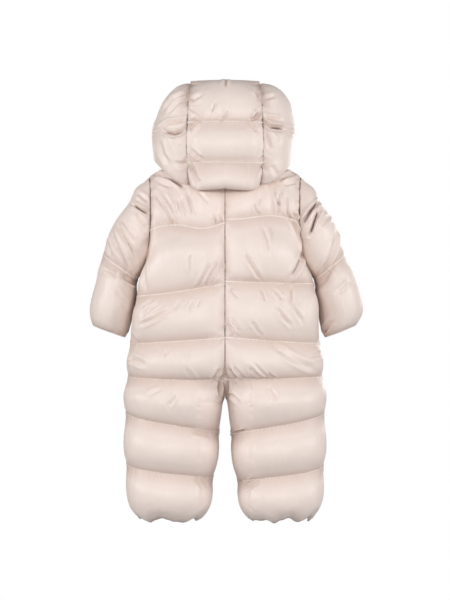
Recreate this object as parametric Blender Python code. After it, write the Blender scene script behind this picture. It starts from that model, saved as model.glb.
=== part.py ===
"""A baby's hooded one-piece down suit, filled out as it is when worn, with nobody in it.

Metres, +Z up.  The front of the suit faces -Y, the wearer's left is +X.  The origin is on the middle line,
level with the tips of the shoulders.  Every panel is a hollow shell's wall: its inner face is the smooth
cut of the suit, and its outer face is puffed up between the sewn channels.
"""

import math
from collections import namedtuple

import bmesh
import bpy
from mathutils import Vector

MM = 0.001

# ---------------------------------------------------------------- cloth
WALL = 2.5            # two cloths and flat down, at a seam
SEAM_GAP = 0.3        # between two panels
HALF_GAP = SEAM_GAP / 2
BODY_PUFF = 13.0      # how far a channel of the body stands proud of its seams
SLEEVE_PUFF = 9.0
HOOD_PUFF = 12.0

# ---------------------------------------------------------------- neck, shoulders and armholes
NECK_HALF_WIDTH = 58.0
NECK_BACK = 48.0
NECK_FRONT = 58.0
NECK_SIDE_HEIGHT = 29.0
NECK_BACK_HEIGHT = 10.0
NECK_FRONT_HEIGHT = -15.0
NECK_CORNER = 18.0    # degrees between the corners of the neck seam
STRIP_NECK = 36.0     # where the hood's strip ends on the neck seam, from the back
FACE_NECK = 162.0     # and where the hood's side panels end at the front
SHOULDER_TIP = Vector((129.0, 0.0, 4.0))
SHOULDER_CROWN = 5.0
ARMPIT = Vector((133.0, 0.0, -143.0))
ARMHOLE_HALF_DEPTH = 52.0
ARMHOLE_HOLLOW = 6.0  # how far the armhole seam curves in between shoulder and armpit

# ---------------------------------------------------------------- body, by height
Girth = namedtuple("Girth", "height half_width back front")
TORSO = (
    Girth(10, 133, 48, 50),
    Girth(-8, 133, 54, 55.8),
    Girth(-36, 133, 64, 64.7),
    Girth(-80, 133, 77, 77.5),
    Girth(-143, 133, 88, 87),
    Girth(-178, 141, 91, 89),
    Girth(-224, 151, 94, 93),
    Girth(-275, 161, 97, 96),
    Girth(-313, 160, 99, 97),
    Girth(-343, 165, 99, 95),
    Girth(-377, 168, 96, 90),
)
Leg = namedtuple("Leg", "height inner outer back front")
LEGS = (
    Leg(-285, 0, 161, 90, 86),
    Leg(-378, 0, 168, 84, 79),
    Leg(-392, 7, 169, 81, 76),
    Leg(-420, 9, 169, 77, 73),
    Leg(-471, 16, 168, 72, 69),
    Leg(-513, 21, 167, 67, 65),
    Leg(-539, 26, 163, 63, 61),
    Leg(-560, 33, 157, 58, 57),
    Leg(-581, 44, 146, 49, 48),
)
SEAT = -285.0         # where the centre seams start to curve under the crotch
CROTCH = -378.0
BACK_SQUARENESS = 2.35
LEG_SQUARENESS = 2.2

# ---------------------------------------------------------------- sewn channels of the body
# A channel's line is given at the middle of the body (or the inner leg) and at the side seam.
Line = namedtuple("Line", "middle edge bow")
BACK_LEFT = (
    Line(-180, -201, 2.6),
    Line(-270, -280, 2.6),
    Line(-347, -343, 1.0),
    Line(-430, -405, 1.0),
    Line(-512, -491, 1.0),
)
BACK_RIGHT = (
    Line(-176, -180, 2.6),
    Line(-269, -280, 2.6),
    Line(-345, -342, 1.0),
    Line(-434, -405, 1.0),
    Line(-517, -495, 1.0),
)
FRONT_LEFT = (
    Line(-188, -201, 2.0),
    Line(-272, -280, 2.0),
    Line(-346, -343, 1.0),
    Line(-426, -405, 1.0),
    Line(-509, -491, 1.0),
)
FRONT_RIGHT = (
    Line(-186, -180, 2.0),
    Line(-271, -280, 2.0),
    Line(-346, -342, 1.0),
    Line(-428, -405, 1.0),
    Line(-512, -495, 1.0),
)
HEM = Line(-581, -578, 1.0)
YOKE_SHARE_LEFT = 0.57     # how far down the armhole the first line meets it
YOKE_SHARE_RIGHT = 0.54
BODY_COLUMNS = 10
YOKE_ROWS = 4
UNDERARM_ROWS = 3
CHANNEL_ROWS = (3, 5, 4, 4, 4, 4)
CROTCH_STEPS = (0.80, 0.90, 0.965, 1.0)
SEAM_SHOULDER = 0.18       # share of a panel's width in which its puff falls to the middle seam
SIDE_SHOULDER = 0.30
UNDERARM_PUFF = 2.0        # what is left of the puff where the sleeve lies against the side
COLLAR_PUFF = 1.0          # and close under the hood
COLLAR_LOW = -60.0
COLLAR_HIGH = 5.0

# ---------------------------------------------------------------- zip
ZIP_OPENING = 8.0          # from the middle line to a front panel's edge
ZIP_BOTTOM = -300.0        # where the fronts start to come together
ZIP_CLOSE = 22.0           # the height that takes
CHAIN_BOTTOM = -302.0      # below this the chain is no longer proud of the tapes
TAPE_BOTTOM = -335.0
TAPE_WIDTH = 15.0
TAPE_THICKNESS = 1.0
TAPE_INSET = 2.6           # from the middle line to the tape's inner edge
TAPE_EASE = 2.5            # seam gaps more behind the front, at the tape's outer edge
CHAIN_WIDTH = 4.6
CHAIN_THICKNESS = 2.4
CHAIN_PROUD = 1.0          # of the tape's outer face
SLIDER_HEIGHT = -32.0      # where the slider's middle is
SLIDER_LENGTH = 13.0
SLIDER_CLEAR = 0.4         # between its plates and the tapes
SLIDER_WIDTH = 8.6
SLIDER_POST_WIDTH = 4.2
SLIDER_PLATE = 2.0
SLIDER_BACK_PLATE = 1.4
BAIL_WIDTH = 2.4
BAIL_THICKNESS = 1.2
BAIL_INSIDE = 4.4          # inside length of the bail, along the zip
PULL_AXIS_PROUD = 3.5      # from the tape's outer face to the pull's axis
PULL_BAR = 1.4             # thickness of the pull and its crossbar
PULL_WIDTH = 7.0
PULL_LENGTH = 26.0
PULL_EYE_WIDTH = 3.2
PULL_EYE_END = 4.8         # from the axis to the eye's far end
PULL_TIP = 2.2             # corner of the pull's tip

# ---------------------------------------------------------------- sleeves
# Each section of a sleeve is an oval through an outer and an inner point, seen from the front.
Cuff = namedtuple("Cuff", "outer_x outer_z inner_x inner_z half_depth forward hollow")
SLEEVE = (
    Cuff(129, 4, 133, -143, 52, 0, 6),
    Cuff(153, -27, 139, -147, 53, 1, 3),
    Cuff(178, -78, 145, -154, 51, 3, 1),
    Cuff(200, -129, 150, -174, 48, 6, 0),
    Cuff(208, -168, 155, -200, 46, 10, 0),
    Cuff(222, -214, 164, -241, 43, 14, 0),
    Cuff(225, -246, 171, -267, 35, 17, 0),
)
ARMHOLE_GAP = 0.4
UNDERARM_GAP = 0.8
SLEEVE_COLUMNS = 16
UPPER_SLEEVE_ROWS = 7
LOWER_SLEEVE_ROWS = 6
ELBOW_SHARE = 3.0 / 6.0    # where the elbow's line runs, as a share of the sections
CAP_LINE_START = Vector((127.0, -60.0))
CAP_LINE_END = Vector((168.0, -40.0))
CAP_LINE_REACH = 13.0

# ---------------------------------------------------------------- hood
# The middle and the edge of the centre strip, from the back of the neck over the crown to the forehead.
Strip = namedtuple("Strip", "middle_y middle_z edge_x edge_y edge_z")
STRIP = (
    Strip(48, 10, 34, 39, 15),
    Strip(74, -9, 54, 58, 2),
    Strip(97, -3, 60, 80, 5),
    Strip(104, 31, 62, 90, 32),
    Strip(106, 60, 63, 93, 60),
    Strip(102, 88, 62, 90, 87),
    Strip(86, 122, 60, 76, 119),
    Strip(50, 148, 60, 46, 145),
    Strip(5, 157, 60, 4, 155),
    Strip(-45, 152, 60, -42, 149),
    Strip(-88, 134, 60, -84, 131),
)
STRIP_LINES = (0, 3, 5, 8, 10)
STRIP_COLUMNS = 8
STRIP_ROWS = (5, 3, 5, 4)
SEAM_TURN = 12.0      # how far from the strip's seams the hood's wall takes to turn away from them
HEAD_CENTRE = Vector((0.0, 0.0, 62.0))
# Rows of a side panel, from the neck to the crown: a place on the strip's edge, the outermost point, and
# the point on the edge round the face.
Side = namedtuple("Side", "strip side_x side_y side_z face_x face_y face_z")
SIDES = (
    Side(0, 58, 0, 25, 18, -55, -11),
    Side(1, 93, 4, 37, 38, -70, 0),
    Side(2, 112, 3, 42, 54, -77, 18),
    Side(3, 117, 0, 52, 65, -82, 40),
    Side(4, 116, 0, 78, 70, -86, 64),
    Side(5, 113, 0, 103, 71, -88, 88),
    Side(6, 98, 0, 132, 67, -87, 113),
    Side(7, 60, 0, 155, 60, -84, 131),
)
SIDE_LINES = (0, 3, 5, 7)
SIDE_COLUMNS = 7
SIDE_ROWS = (5, 3, 4)

# ---------------------------------------------------------------- materials: colour, roughness, metallic
CLOTH = ("satin_nylon", (0.78, 0.68, 0.63), 0.42, 0.0)
TAPE = ("zip_tape", (0.62, 0.52, 0.47), 0.8, 0.0)
TEETH = ("zip_teeth", (0.70, 0.62, 0.57), 0.4, 0.0)
METAL = ("zip_metal", (0.72, 0.68, 0.64), 0.3, 1.0)

# A sample of a panel: a point of its cut, how far it is puffed up there, and which way is out, where the
# seam with a neighbour settles that.
Sample = namedtuple("Sample", "base puff out")


def start_empty():
    """Remove whatever the scene holds."""
    for item in list(bpy.data.objects):
        bpy.data.objects.remove(item, do_unlink=True)


def material(finish):
    """The Principled material of a finish, made once."""
    name, colour, roughness, metallic = finish
    found = bpy.data.materials.get(name)
    if found:
        return found
    made = bpy.data.materials.new(name)
    made.use_nodes = True
    shader = made.node_tree.nodes["Principled BSDF"]
    shader.inputs["Base Color"].default_value = (*colour, 1.0)
    shader.inputs["Roughness"].default_value = roughness
    shader.inputs["Metallic"].default_value = metallic
    made.diffuse_color = (*colour, 1.0)
    return made


def mix(first, last, share):
    """The value or point at a share of the way from first to last."""
    return first * (1.0 - share) + last * share


def smooth_step(share):
    """Ease a share in and out, and hold it between 0 and 1."""
    held = min(1.0, max(0.0, share))
    return held * held * (3.0 - 2.0 * held)


def curve_through(values, places, place):
    """The value at a place on a smooth curve through values at ascending places."""
    last = len(places) - 2
    span = min(last, max(0, sum(1 for known in places[1:-1] if place >= known)))
    left, right = places[span], places[span + 1]
    before = max(0, span - 1)
    after = min(len(places) - 1, span + 2)
    width = right - left
    slope_left = (values[span + 1] - values[before]) / (right - places[before])
    slope_right = (values[after] - values[span]) / (places[after] - left)
    share = min(1.0, max(0.0, (place - left) / width))
    squared, cubed = share * share, share * share * share
    return (
        values[span] * (2 * cubed - 3 * squared + 1)
        + slope_left * width * (cubed - 2 * squared + share)
        + values[span + 1] * (3 * squared - 2 * cubed)
        + slope_right * width * (cubed - squared)
    )


def at_height(table, column, height):
    """A column of a table whose rows run down from the top, read at a height."""
    depths = [-row.height for row in table]
    values = [getattr(row, column) for row in table]
    return curve_through(values, depths, -height)


def along(table, column, place):
    """A column of a table read at a place counted in rows."""
    values = [getattr(row, column) for row in table]
    return curve_through(values, list(range(len(table))), place)


def signed_power(value, power):
    """A power that keeps the sign of its base."""
    return math.copysign(abs(value) ** power, value)


def arch(share):
    """The round profile of a puffed channel between its two sewn lines."""
    return math.sin(math.pi * min(1.0, max(0.0, share))) ** 0.65


# ---------------------------------------------------------------- the cut of the body
def neck_point(angle):
    """A point of the neck seam; the angle runs from the back (0) over the side (90) to the front (180)."""
    sine, cosine = math.sin(math.radians(angle)), math.cos(math.radians(angle))
    depth = NECK_BACK if cosine > 0 else NECK_FRONT
    low = NECK_BACK_HEIGHT if cosine > 0 else NECK_FRONT_HEIGHT
    height = mix(NECK_SIDE_HEIGHT, low, cosine * cosine)
    return Vector((NECK_HALF_WIDTH * sine, depth * cosine, height))


def neck_chord(angle):
    """A point on the straight run between the neck's nearest two corners, so that panels match there."""
    corner = min(180 - NECK_CORNER, NECK_CORNER * math.floor(angle / NECK_CORNER + 1e-6))
    share = (angle - corner) / NECK_CORNER
    return mix(neck_point(corner), neck_point(corner + NECK_CORNER), share)


def armhole_point(share, face):
    """A point of the armhole seam, from the shoulder's tip (0) round back or front to the armpit (1)."""
    sine, cosine = math.sin(math.pi * share), math.cos(math.pi * share)
    middle = (SHOULDER_TIP + ARMPIT) / 2
    reach = (SHOULDER_TIP - ARMPIT) / 2
    point = middle + reach * cosine
    point.x -= ARMHOLE_HOLLOW * sine
    point.y = face * ARMHOLE_HALF_DEPTH * sine
    return point


def torso_point(height, share, face):
    """A point of the torso's section, from its middle (0) to its side (1)."""
    half_width = at_height(TORSO, "half_width", height)
    depth = at_height(TORSO, "back" if face > 0 else "front", height)
    angle = math.radians(90.0 * share)
    power = 2.0 / BACK_SQUARENESS
    across = half_width * signed_power(math.sin(angle), power)
    return Vector((across, face * depth * signed_power(math.cos(angle), power), height))


def leg_point(height, share, face):
    """A point of a leg's section, from the inner seam (0) to the outer seam (1)."""
    inner = at_height(LEGS, "inner", height)
    outer = at_height(LEGS, "outer", height)
    depth = at_height(LEGS, "back" if face > 0 else "front", height)
    angle = math.radians(180.0 * share)
    power = 2.0 / LEG_SQUARENESS
    middle, half_width = (inner + outer) / 2, (outer - inner) / 2
    across = middle - half_width * signed_power(math.cos(angle), power)
    return Vector((across, face * depth * math.sin(angle) ** power if share < 1.0 else 0.0, height))


def leg_share(height):
    """How far the section has turned from torso to leg; the crotch seam is a quarter round."""
    drop = min(1.0, max(0.0, (SEAT - height) / (SEAT - CROTCH)))
    return 1.0 - math.sqrt(1.0 - drop * drop)


def lower_point(height, share, face):
    """A point of the body below the armpit."""
    turned = leg_share(height)
    return mix(torso_point(height, share, face), leg_point(height, share, face), turned)


def yoke_top(share, face):
    """The upper edge of a front or back: half of the neck, then the shoulder seam."""
    if share <= 0.5:
        angle = 180.0 * share
        return neck_point(angle if face > 0 else 180.0 - angle)
    run = 2.0 * share - 1.0
    point = mix(neck_point(90.0), SHOULDER_TIP, run)
    point.z += SHOULDER_CROWN * math.sin(math.pi * run)
    return point


def middle_line(share, face):
    """The middle of the yoke, from the neck (0) down to the armpit's height (1)."""
    top = NECK_BACK_HEIGHT if face > 0 else NECK_FRONT_HEIGHT
    height = mix(top, ARMPIT.z, share)
    depth = at_height(TORSO, "back" if face > 0 else "front", height)
    return Vector((0.0, face * depth, height))


def yoke_point(down, share, face):
    """A point of the yoke, blended between its four edges."""
    top, bottom = yoke_top(share, face), torso_point(ARMPIT.z, share, face)
    middle, side = middle_line(down, face), armhole_point(down, face)
    ruled = mix(top, bottom, down) + mix(middle, side, share)
    upper = mix(yoke_top(0.0, face), yoke_top(1.0, face), share)
    lower = mix(torso_point(ARMPIT.z, 0.0, face), torso_point(ARMPIT.z, 1.0, face), share)
    return ruled - mix(upper, lower, down)


# ---------------------------------------------------------------- channels
def line_height(line, share):
    """The height of a sewn line at a share of the panel's width."""
    return mix(line.middle, line.edge, 1.0 - (1.0 - share) ** line.bow)


def across_puff(share):
    """How the puff falls off at the middle seam (0) and the side seam (1)."""
    middle = 1.0 - (1.0 - min(1.0, share / SEAM_SHOULDER)) ** 2
    side = 1.0 - (1.0 - min(1.0, (1.0 - share) / SIDE_SHOULDER)) ** 2
    return middle * side


def underarm_limit(height, share):
    """What the puff may reach where the sleeve lies against the side."""
    beside = smooth_step((share - 0.62) / 0.2)
    level = smooth_step((ARMPIT.z + 70 - height) / 60) * smooth_step((height + 305) / 30)
    return mix(BODY_PUFF, UNDERARM_PUFF, beside * level)


def armhole_out(share, face, aside):
    """Which way is out at the armhole: away from its middle, turned aside towards the armpit."""
    sine, cosine = math.sin(math.pi * share), math.cos(math.pi * share)
    away = Vector((0.0, face * sine, cosine))
    return mix(away, aside, smooth_step((share - 0.5) / 0.4)).normalized()


def collar_limit(height):
    """What the puff may reach close under the hood."""
    return mix(BODY_PUFF, COLLAR_PUFF, smooth_step((height - COLLAR_LOW) / (COLLAR_HIGH - COLLAR_LOW)))


def body_samples(face, lines, yoke_share):
    """The rows of a body panel, from the shoulder to the hem."""
    shares = [column / BODY_COLUMNS for column in range(BODY_COLUMNS + 1)]
    rows = []

    def add_row(points, fraction, armhole_share=None):
        row = []
        for point, share in zip(points, shares):
            limit = min(underarm_limit(point.z, share), collar_limit(point.z))
            puff = min(BODY_PUFF * arch(fraction) * across_puff(share), limit)
            at_armhole = share == 1.0 and armhole_share is not None
            out = armhole_out(armhole_share, face, Vector((1.0, 0.0, 0.0))) if at_armhole else None
            row.append(Sample(point, puff, out))
        rows.append(row)

    for row in range(YOKE_ROWS + 1):
        down = yoke_share * row / YOKE_ROWS
        add_row([yoke_point(down, share, face) for share in shares], row / YOKE_ROWS, down)
    first_line = yoke_point(yoke_share, 0.0, face).z
    channel_height = first_line - lines[0].middle
    for row in range(1, UNDERARM_ROWS + 1):
        down = mix(yoke_share, 1.0, row / UNDERARM_ROWS)
        fallen = (first_line - yoke_point(down, 0.0, face).z) / channel_height
        add_row([yoke_point(down, share, face) for share in shares], fallen, down)
    armpit_line = Line(ARMPIT.z, ARMPIT.z, 1.0)
    start = (first_line - ARMPIT.z) / channel_height
    steps = [(mix(start, 1.0, row / CHANNEL_ROWS[0]), row / CHANNEL_ROWS[0])
             for row in range(1, CHANNEL_ROWS[0] + 1)]
    add_channel(add_row, shares, face, armpit_line, lines[0], steps)
    bounds = list(lines) + [HEM]
    for upper, lower, count in zip(bounds, bounds[1:], CHANNEL_ROWS[1:]):
        downs = [row / count for row in range(1, count + 1)]
        if upper.middle > CROTCH > lower.middle:
            downs = crotch_downs(upper, lower, downs)
        add_channel(add_row, shares, face, upper, lower, [(down, down) for down in downs])
    return rows


def crotch_downs(upper, lower, downs):
    """The rows of the channel that holds the crotch, closer together where the seam turns under."""
    drops = [mix(SEAT, CROTCH, step) for step in CROTCH_STEPS]
    placed = [(upper.middle - drop) / (upper.middle - lower.middle) for drop in drops]
    kept = [down for down in downs if down > placed[-1] + 0.1]
    return [place for place in placed if place > 0.05] + kept


def add_channel(add_row, shares, face, upper, lower, steps):
    """Add a channel's rows, each a step down from its upper to its lower line."""
    for fraction, down in steps:
        heights = [mix(line_height(upper, share), line_height(lower, share), down) for share in shares]
        add_row([lower_point(height, share, face) for height, share in zip(heights, shares)], fraction)


# ---------------------------------------------------------------- walls
def outward(grid, row, column, ring, turn):
    """The way out at a sample: its own, or the normal of the grid of base points."""
    if grid[row][column].out:
        return grid[row][column].out
    rows, columns = len(grid), len(grid[0])
    up, down = max(0, row - 1), min(rows - 1, row + 1)
    if ring:
        left, right = (column - 1) % columns, (column + 1) % columns
    else:
        left, right = max(0, column - 1), min(columns - 1, column + 1)
    across = grid[row][right].base - grid[row][left].base
    along_rows = grid[down][column].base - grid[up][column].base
    return across.cross(along_rows).normalized() * turn


def layer(mesh, grid, ring, place):
    """Add one face of a wall as a grid, each vertex moved to its place; return its vertices by row."""
    rows, columns = len(grid), len(grid[0])
    width = columns if ring else columns - 1
    made = bmesh.ops.create_grid(mesh, x_segments=width, y_segments=rows - 1, size=0.5)["verts"]
    by_row = [made[row * (width + 1):(row + 1) * (width + 1)] for row in range(rows)]
    for row, line in enumerate(by_row):
        for column, vertex in enumerate(line):
            vertex.co = place(row, column % columns)
    if ring:
        bmesh.ops.remove_doubles(mesh, verts=[vertex for line in by_row for vertex in line], dist=1e-5)
    return by_row


def wall_object(name, grid, finish, turn=1, ring=False, hold=None, side=1, thickness=WALL):
    """A panel's wall: a smooth inner face, a puffed outer face, and a rim at every edge."""
    mesh = bmesh.new()
    hold = hold or (lambda point: point)

    def place(reach):
        def at(row, column):
            sample = grid[row][column]
            normal = outward(grid, row, column, ring, turn)
            distance = sample.puff if reach > 0 else -thickness
            point = hold(sample.base + normal * distance)
            return Vector((point.x * side, point.y, point.z)) * MM
        return at

    for reach in (1, -1):
        layer(mesh, grid, ring, place(reach))
    edges = [edge for edge in mesh.edges if edge.is_boundary]
    if ring:
        near = [edge for edge in edges if near_ring(edge, grid[0], side)]
        far = [edge for edge in edges if edge not in near]
        bmesh.ops.bridge_loops(mesh, edges=near)
        bmesh.ops.bridge_loops(mesh, edges=far)
    else:
        bmesh.ops.bridge_loops(mesh, edges=edges)
    bmesh.ops.recalc_face_normals(mesh, faces=mesh.faces[:])
    data = bpy.data.meshes.new(name)
    mesh.to_mesh(data)
    mesh.free()
    return finish_object(name, data, finish)


def near_ring(edge, ring, side):
    """Whether an edge lies at a ring of samples."""
    middle = (edge.verts[0].co + edge.verts[1].co) / (2 * MM)
    middle.x *= side
    return min((sample.base - middle).length for sample in ring) < 30.0


def finish_object(name, data, finish):
    """Put a mesh in the scene with its material."""
    data.shade_smooth()
    data.set_sharp_from_angle(angle=math.radians(50))
    data.materials.append(material(finish))
    item = bpy.data.objects.new(name, data)
    bpy.context.scene.collection.objects.link(item)
    return item


def panel_hold(face):
    """Keep a body panel on its own side of the seams, and a front's edge back from the zip."""
    def hold(point):
        least = HALF_GAP
        if face < 0:
            least = mix(ZIP_OPENING, HALF_GAP, smooth_step((ZIP_BOTTOM - point.z) / ZIP_CLOSE))
        return Vector((max(point.x, least), face * max(face * point.y, HALF_GAP), point.z))
    return hold


def make_body():
    """The four panels of the body and the tapes behind the fronts; return the zip's line."""
    line = None
    panels = (
        ("back_left", 1, 1, BACK_LEFT, YOKE_SHARE_LEFT),
        ("back_right", -1, 1, BACK_RIGHT, YOKE_SHARE_RIGHT),
        ("front_left", 1, -1, FRONT_LEFT, YOKE_SHARE_LEFT),
        ("front_right", -1, -1, FRONT_RIGHT, YOKE_SHARE_RIGHT),
    )
    for name, side, face, lines, yoke_share in panels:
        grid = body_samples(face, lines, yoke_share)
        wall_object(name, grid, CLOTH, turn=face, hold=panel_hold(face), side=side)
        if face < 0:
            corners = tape_corners(grid)
            make_tape(name.replace("front", "zip_tape"), corners, side)
            line = line or [Vector((0.0, row[0].y, row[0].z)) for row in corners]
    return line


# ---------------------------------------------------------------- zip
def behind_front(grid, row, column):
    """The inner face of a front panel at a sample."""
    normal = outward(grid, row, column, False, -1)
    return panel_hold(-1)(grid[row][column].base - normal * WALL)


def tape_corners(grid):
    """The tape's outer face behind a front's edge, row by row, from the middle of the zip outward."""
    inward = Vector((0.0, SEAM_GAP, 0.0))
    rows = []
    for row in range(len(grid)):
        edge, next_in = behind_front(grid, row, 0), behind_front(grid, row, 1)
        if edge.z < TAPE_BOTTOM:
            break
        share = (TAPE_INSET + TAPE_WIDTH - edge.x) / (next_in.x - edge.x)
        bend = Vector((max(edge.x, TAPE_INSET + 1.0), edge.y, edge.z))
        sewn = mix(edge, next_in, share) + inward * TAPE_EASE
        corners = [Vector((TAPE_INSET, edge.y, edge.z)), bend, sewn]
        rows.append([corner + inward for corner in corners])
    return rows


def make_tape(name, corners, side):
    """One tape of the zip, sewn behind the edge of its front panel."""
    out = Vector((0.0, -1.0, 0.0))
    grid = [[Sample(corner, 0.0, out) for corner in row] for row in corners]
    wall_object(name, grid, TAPE, side=side, thickness=TAPE_THICKNESS)


def zip_point(line, height):
    """The point of the zip's line at a height."""
    upper, lower = next(pair for pair in zip(line, line[1:]) if pair[1].z <= height)
    return mix(upper, lower, (upper.z - height) / (upper.z - lower.z))


def zip_tilt(line):
    """The zip's tilt about X along the slider and the pull."""
    upper = zip_point(line, SLIDER_HEIGHT + SLIDER_LENGTH / 2)
    lower = zip_point(line, SLIDER_HEIGHT - PULL_LENGTH)
    return math.atan2(upper.y - lower.y, upper.z - lower.z)


def out_of_zip(tilt):
    """The way straight out of the zip where it has a tilt."""
    return Vector((0.0, -math.cos(tilt), math.sin(tilt)))


def make_chain(line):
    """The closed row of teeth, as one bar from the slider down to the bottom stop."""
    start = zip_point(line, SLIDER_HEIGHT - SLIDER_LENGTH / 2 - SEAM_GAP)
    points = [start] + [point for point in line if point.z < start.z]
    out = Vector((0.0, -1.0, 0.0))
    grid = [
        [Sample(point + Vector((side * CHAIN_WIDTH / 2, 0, 0)),
                CHAIN_PROUD if point.z > CHAIN_BOTTOM else 0.0, out) for side in (-1, 1)]
        for point in points
    ]
    wall_object("zip_chain", grid, TEETH, thickness=CHAIN_THICKNESS - CHAIN_PROUD)


def prism(name, outline, axis, half_length):
    """A mesh with a flat outline, drawn out both ways along an axis."""
    mesh = bmesh.new()
    across = [Vector(point) * MM for point in outline]
    reach = Vector(axis) * half_length * MM
    face = mesh.faces.new([mesh.verts.new(point - reach) for point in across])
    drawn = bmesh.ops.extrude_face_region(mesh, geom=[face])["geom"]
    moved = [item for item in drawn if isinstance(item, bmesh.types.BMVert)]
    bmesh.ops.translate(mesh, verts=moved, vec=reach * 2)
    bmesh.ops.recalc_face_normals(mesh, faces=mesh.faces[:])
    data = bpy.data.meshes.new(name)
    mesh.to_mesh(data)
    mesh.free()
    return data


def combine(item, other, operation):
    """Join another shape to an object, or cut it out, with a Boolean."""
    other.hide_render = True
    other.display_type = "WIRE"
    boolean = item.modifiers.new(other.name, "BOOLEAN")
    boolean.operation = operation
    boolean.solver = "EXACT"
    boolean.object = other


def place_on_zip(item, line, proud):
    """Stand an object on the zip at the slider: its -Y points out of the suit, its Z up the zip."""
    tilt = zip_tilt(line)
    item.location = (zip_point(line, SLIDER_HEIGHT) + out_of_zip(tilt) * proud) * MM
    item.rotation_euler = (-tilt, 0.0, 0.0)


def make_slider(line):
    """The slider: two plates on a post with the tapes between them, and the bail that holds the pull."""
    half, post = SLIDER_WIDTH / 2, SLIDER_POST_WIDTH / 2
    front, outer = -SLIDER_CLEAR, -SLIDER_CLEAR - SLIDER_PLATE
    back = TAPE_THICKNESS + SLIDER_CLEAR
    inner = back + SLIDER_BACK_PLATE
    outline = (
        (-half, outer, 0), (half, outer, 0), (half, front, 0), (post, front, 0),
        (post, back, 0), (half, back, 0), (half, inner, 0), (-half, inner, 0),
        (-half, back, 0), (-post, back, 0), (-post, front, 0), (-half, front, 0),
    )
    slider = finish_object("zip_slider", prism("zip_slider", outline, (0, 0, 1), SLIDER_LENGTH / 2), METAL)
    top = -PULL_AXIS_PROUD - PULL_BAR / math.sqrt(2) - SEAM_GAP
    inside, foot = BAIL_INSIDE / 2, BAIL_INSIDE / 2 + BAIL_THICKNESS
    sunk = outer + SLIDER_PLATE / 2
    arch_outline = (
        (0, sunk, -foot), (0, top - BAIL_THICKNESS, -foot), (0, top - BAIL_THICKNESS, foot),
        (0, sunk, foot), (0, sunk, inside), (0, top, inside), (0, top, -inside), (0, sunk, -inside),
    )
    bail = finish_object("bail_shape", prism("bail_shape", arch_outline, (1, 0, 0), BAIL_WIDTH / 2), METAL)
    place_on_zip(slider, line, 0.0)
    place_on_zip(bail, line, 0.0)
    combine(slider, bail, "UNION")


def make_pull(line):
    """The pull: a flat tab whose crossbar lies in the bail; its origin is on the axis it swings about."""
    half, bar = PULL_WIDTH / 2, PULL_BAR / 2
    outline = (
        (-half, 0, bar), (half, 0, bar), (half, 0, PULL_TIP - PULL_LENGTH),
        (half - PULL_TIP, 0, -PULL_LENGTH), (PULL_TIP - half, 0, -PULL_LENGTH),
        (-half, 0, PULL_TIP - PULL_LENGTH),
    )
    pull = finish_object("zip_pull", prism("zip_pull", outline, (0, 1, 0), bar), METAL)
    eye_half = PULL_EYE_WIDTH / 2
    eye_outline = (
        (-eye_half, 0, -bar), (eye_half, 0, -bar),
        (eye_half, 0, -PULL_EYE_END), (-eye_half, 0, -PULL_EYE_END),
    )
    eye = finish_object("eye_shape", prism("eye_shape", eye_outline, (0, 1, 0), PULL_BAR), METAL)
    place_on_zip(pull, line, PULL_AXIS_PROUD)
    place_on_zip(eye, line, PULL_AXIS_PROUD)
    combine(pull, eye, "DIFFERENCE")


# ---------------------------------------------------------------- sleeves
def sleeve_point(place, angle):
    """A point of the left sleeve's cut; the angle runs from the outer side over the back."""
    values = [along(SLEEVE, column, place) for column in Cuff._fields]
    cut = Cuff(*values)
    outer, inner = Vector((cut.outer_x, 0, cut.outer_z)), Vector((cut.inner_x, 0, cut.inner_z))
    point = (outer + inner) / 2 + (outer - inner) / 2 * math.cos(angle)
    point.x -= cut.hollow * abs(math.sin(angle))
    point.y = cut.half_depth * math.sin(angle) - cut.forward
    return point


def cap_dip(point):
    """How far the line sewn across the sleeve's cap presses the puff down."""
    run = (CAP_LINE_END - CAP_LINE_START).normalized()
    away = abs((point.x - CAP_LINE_START.x) * run.y - (point.z - CAP_LINE_START.y) * run.x)
    return min(1.0, away / CAP_LINE_REACH)


def sleeve_samples():
    """The rings of the left sleeve, from the armhole to the cuff."""
    last = len(SLEEVE) - 1
    elbow = ELBOW_SHARE * last
    places = [(elbow * row / UPPER_SLEEVE_ROWS, row / UPPER_SLEEVE_ROWS)
              for row in range(UPPER_SLEEVE_ROWS + 1)]
    places += [(mix(elbow, last, row / LOWER_SLEEVE_ROWS), row / LOWER_SLEEVE_ROWS)
               for row in range(1, LOWER_SLEEVE_ROWS + 1)]
    rings = []
    for place, fraction in places:
        ring = []
        for column in range(SLEEVE_COLUMNS):
            angle = 2 * math.pi * column / SLEEVE_COLUMNS
            point = sleeve_point(place, angle)
            inside = mix(1.0, 0.1, smooth_step((-math.cos(angle) + 0.2) / 0.8))
            dip = cap_dip(point) if place < elbow - 0.01 else 1.0
            out = None
            if place == 0:
                face = 1 if angle <= math.pi else -1
                share = math.acos(math.cos(angle)) / math.pi
                point.x += ARMHOLE_GAP + UNDERARM_GAP * smooth_step((share - 0.6) / 0.3)
                out = armhole_out(share, face, Vector((-0.86, 0.0, -0.5)))
            ring.append(Sample(point, SLEEVE_PUFF * arch(fraction) * inside * dip, out))
        rings.append(ring)
    return rings


def make_sleeves():
    """Both sleeves, the right one a mirror of the left."""
    grid = sleeve_samples()
    for name, side in (("sleeve_left", 1), ("sleeve_right", -1)):
        wall_object(name, grid, CLOTH, turn=-1, ring=True, side=side)


# ---------------------------------------------------------------- hood
def channel_fractions(lines, counts):
    """The places of a run of channels' rows, each with its fraction of its channel."""
    places = [(float(lines[0]), 0.0)]
    for start, end, count in zip(lines, lines[1:], counts):
        places += [(mix(start, end, row / count), row / count) for row in range(1, count + 1)]
    return places


def strip_edge(place):
    """A point of the seam between the strip and the left side panel."""
    return Vector([along(STRIP, "edge_" + axis, place) for axis in "xyz"])


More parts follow.
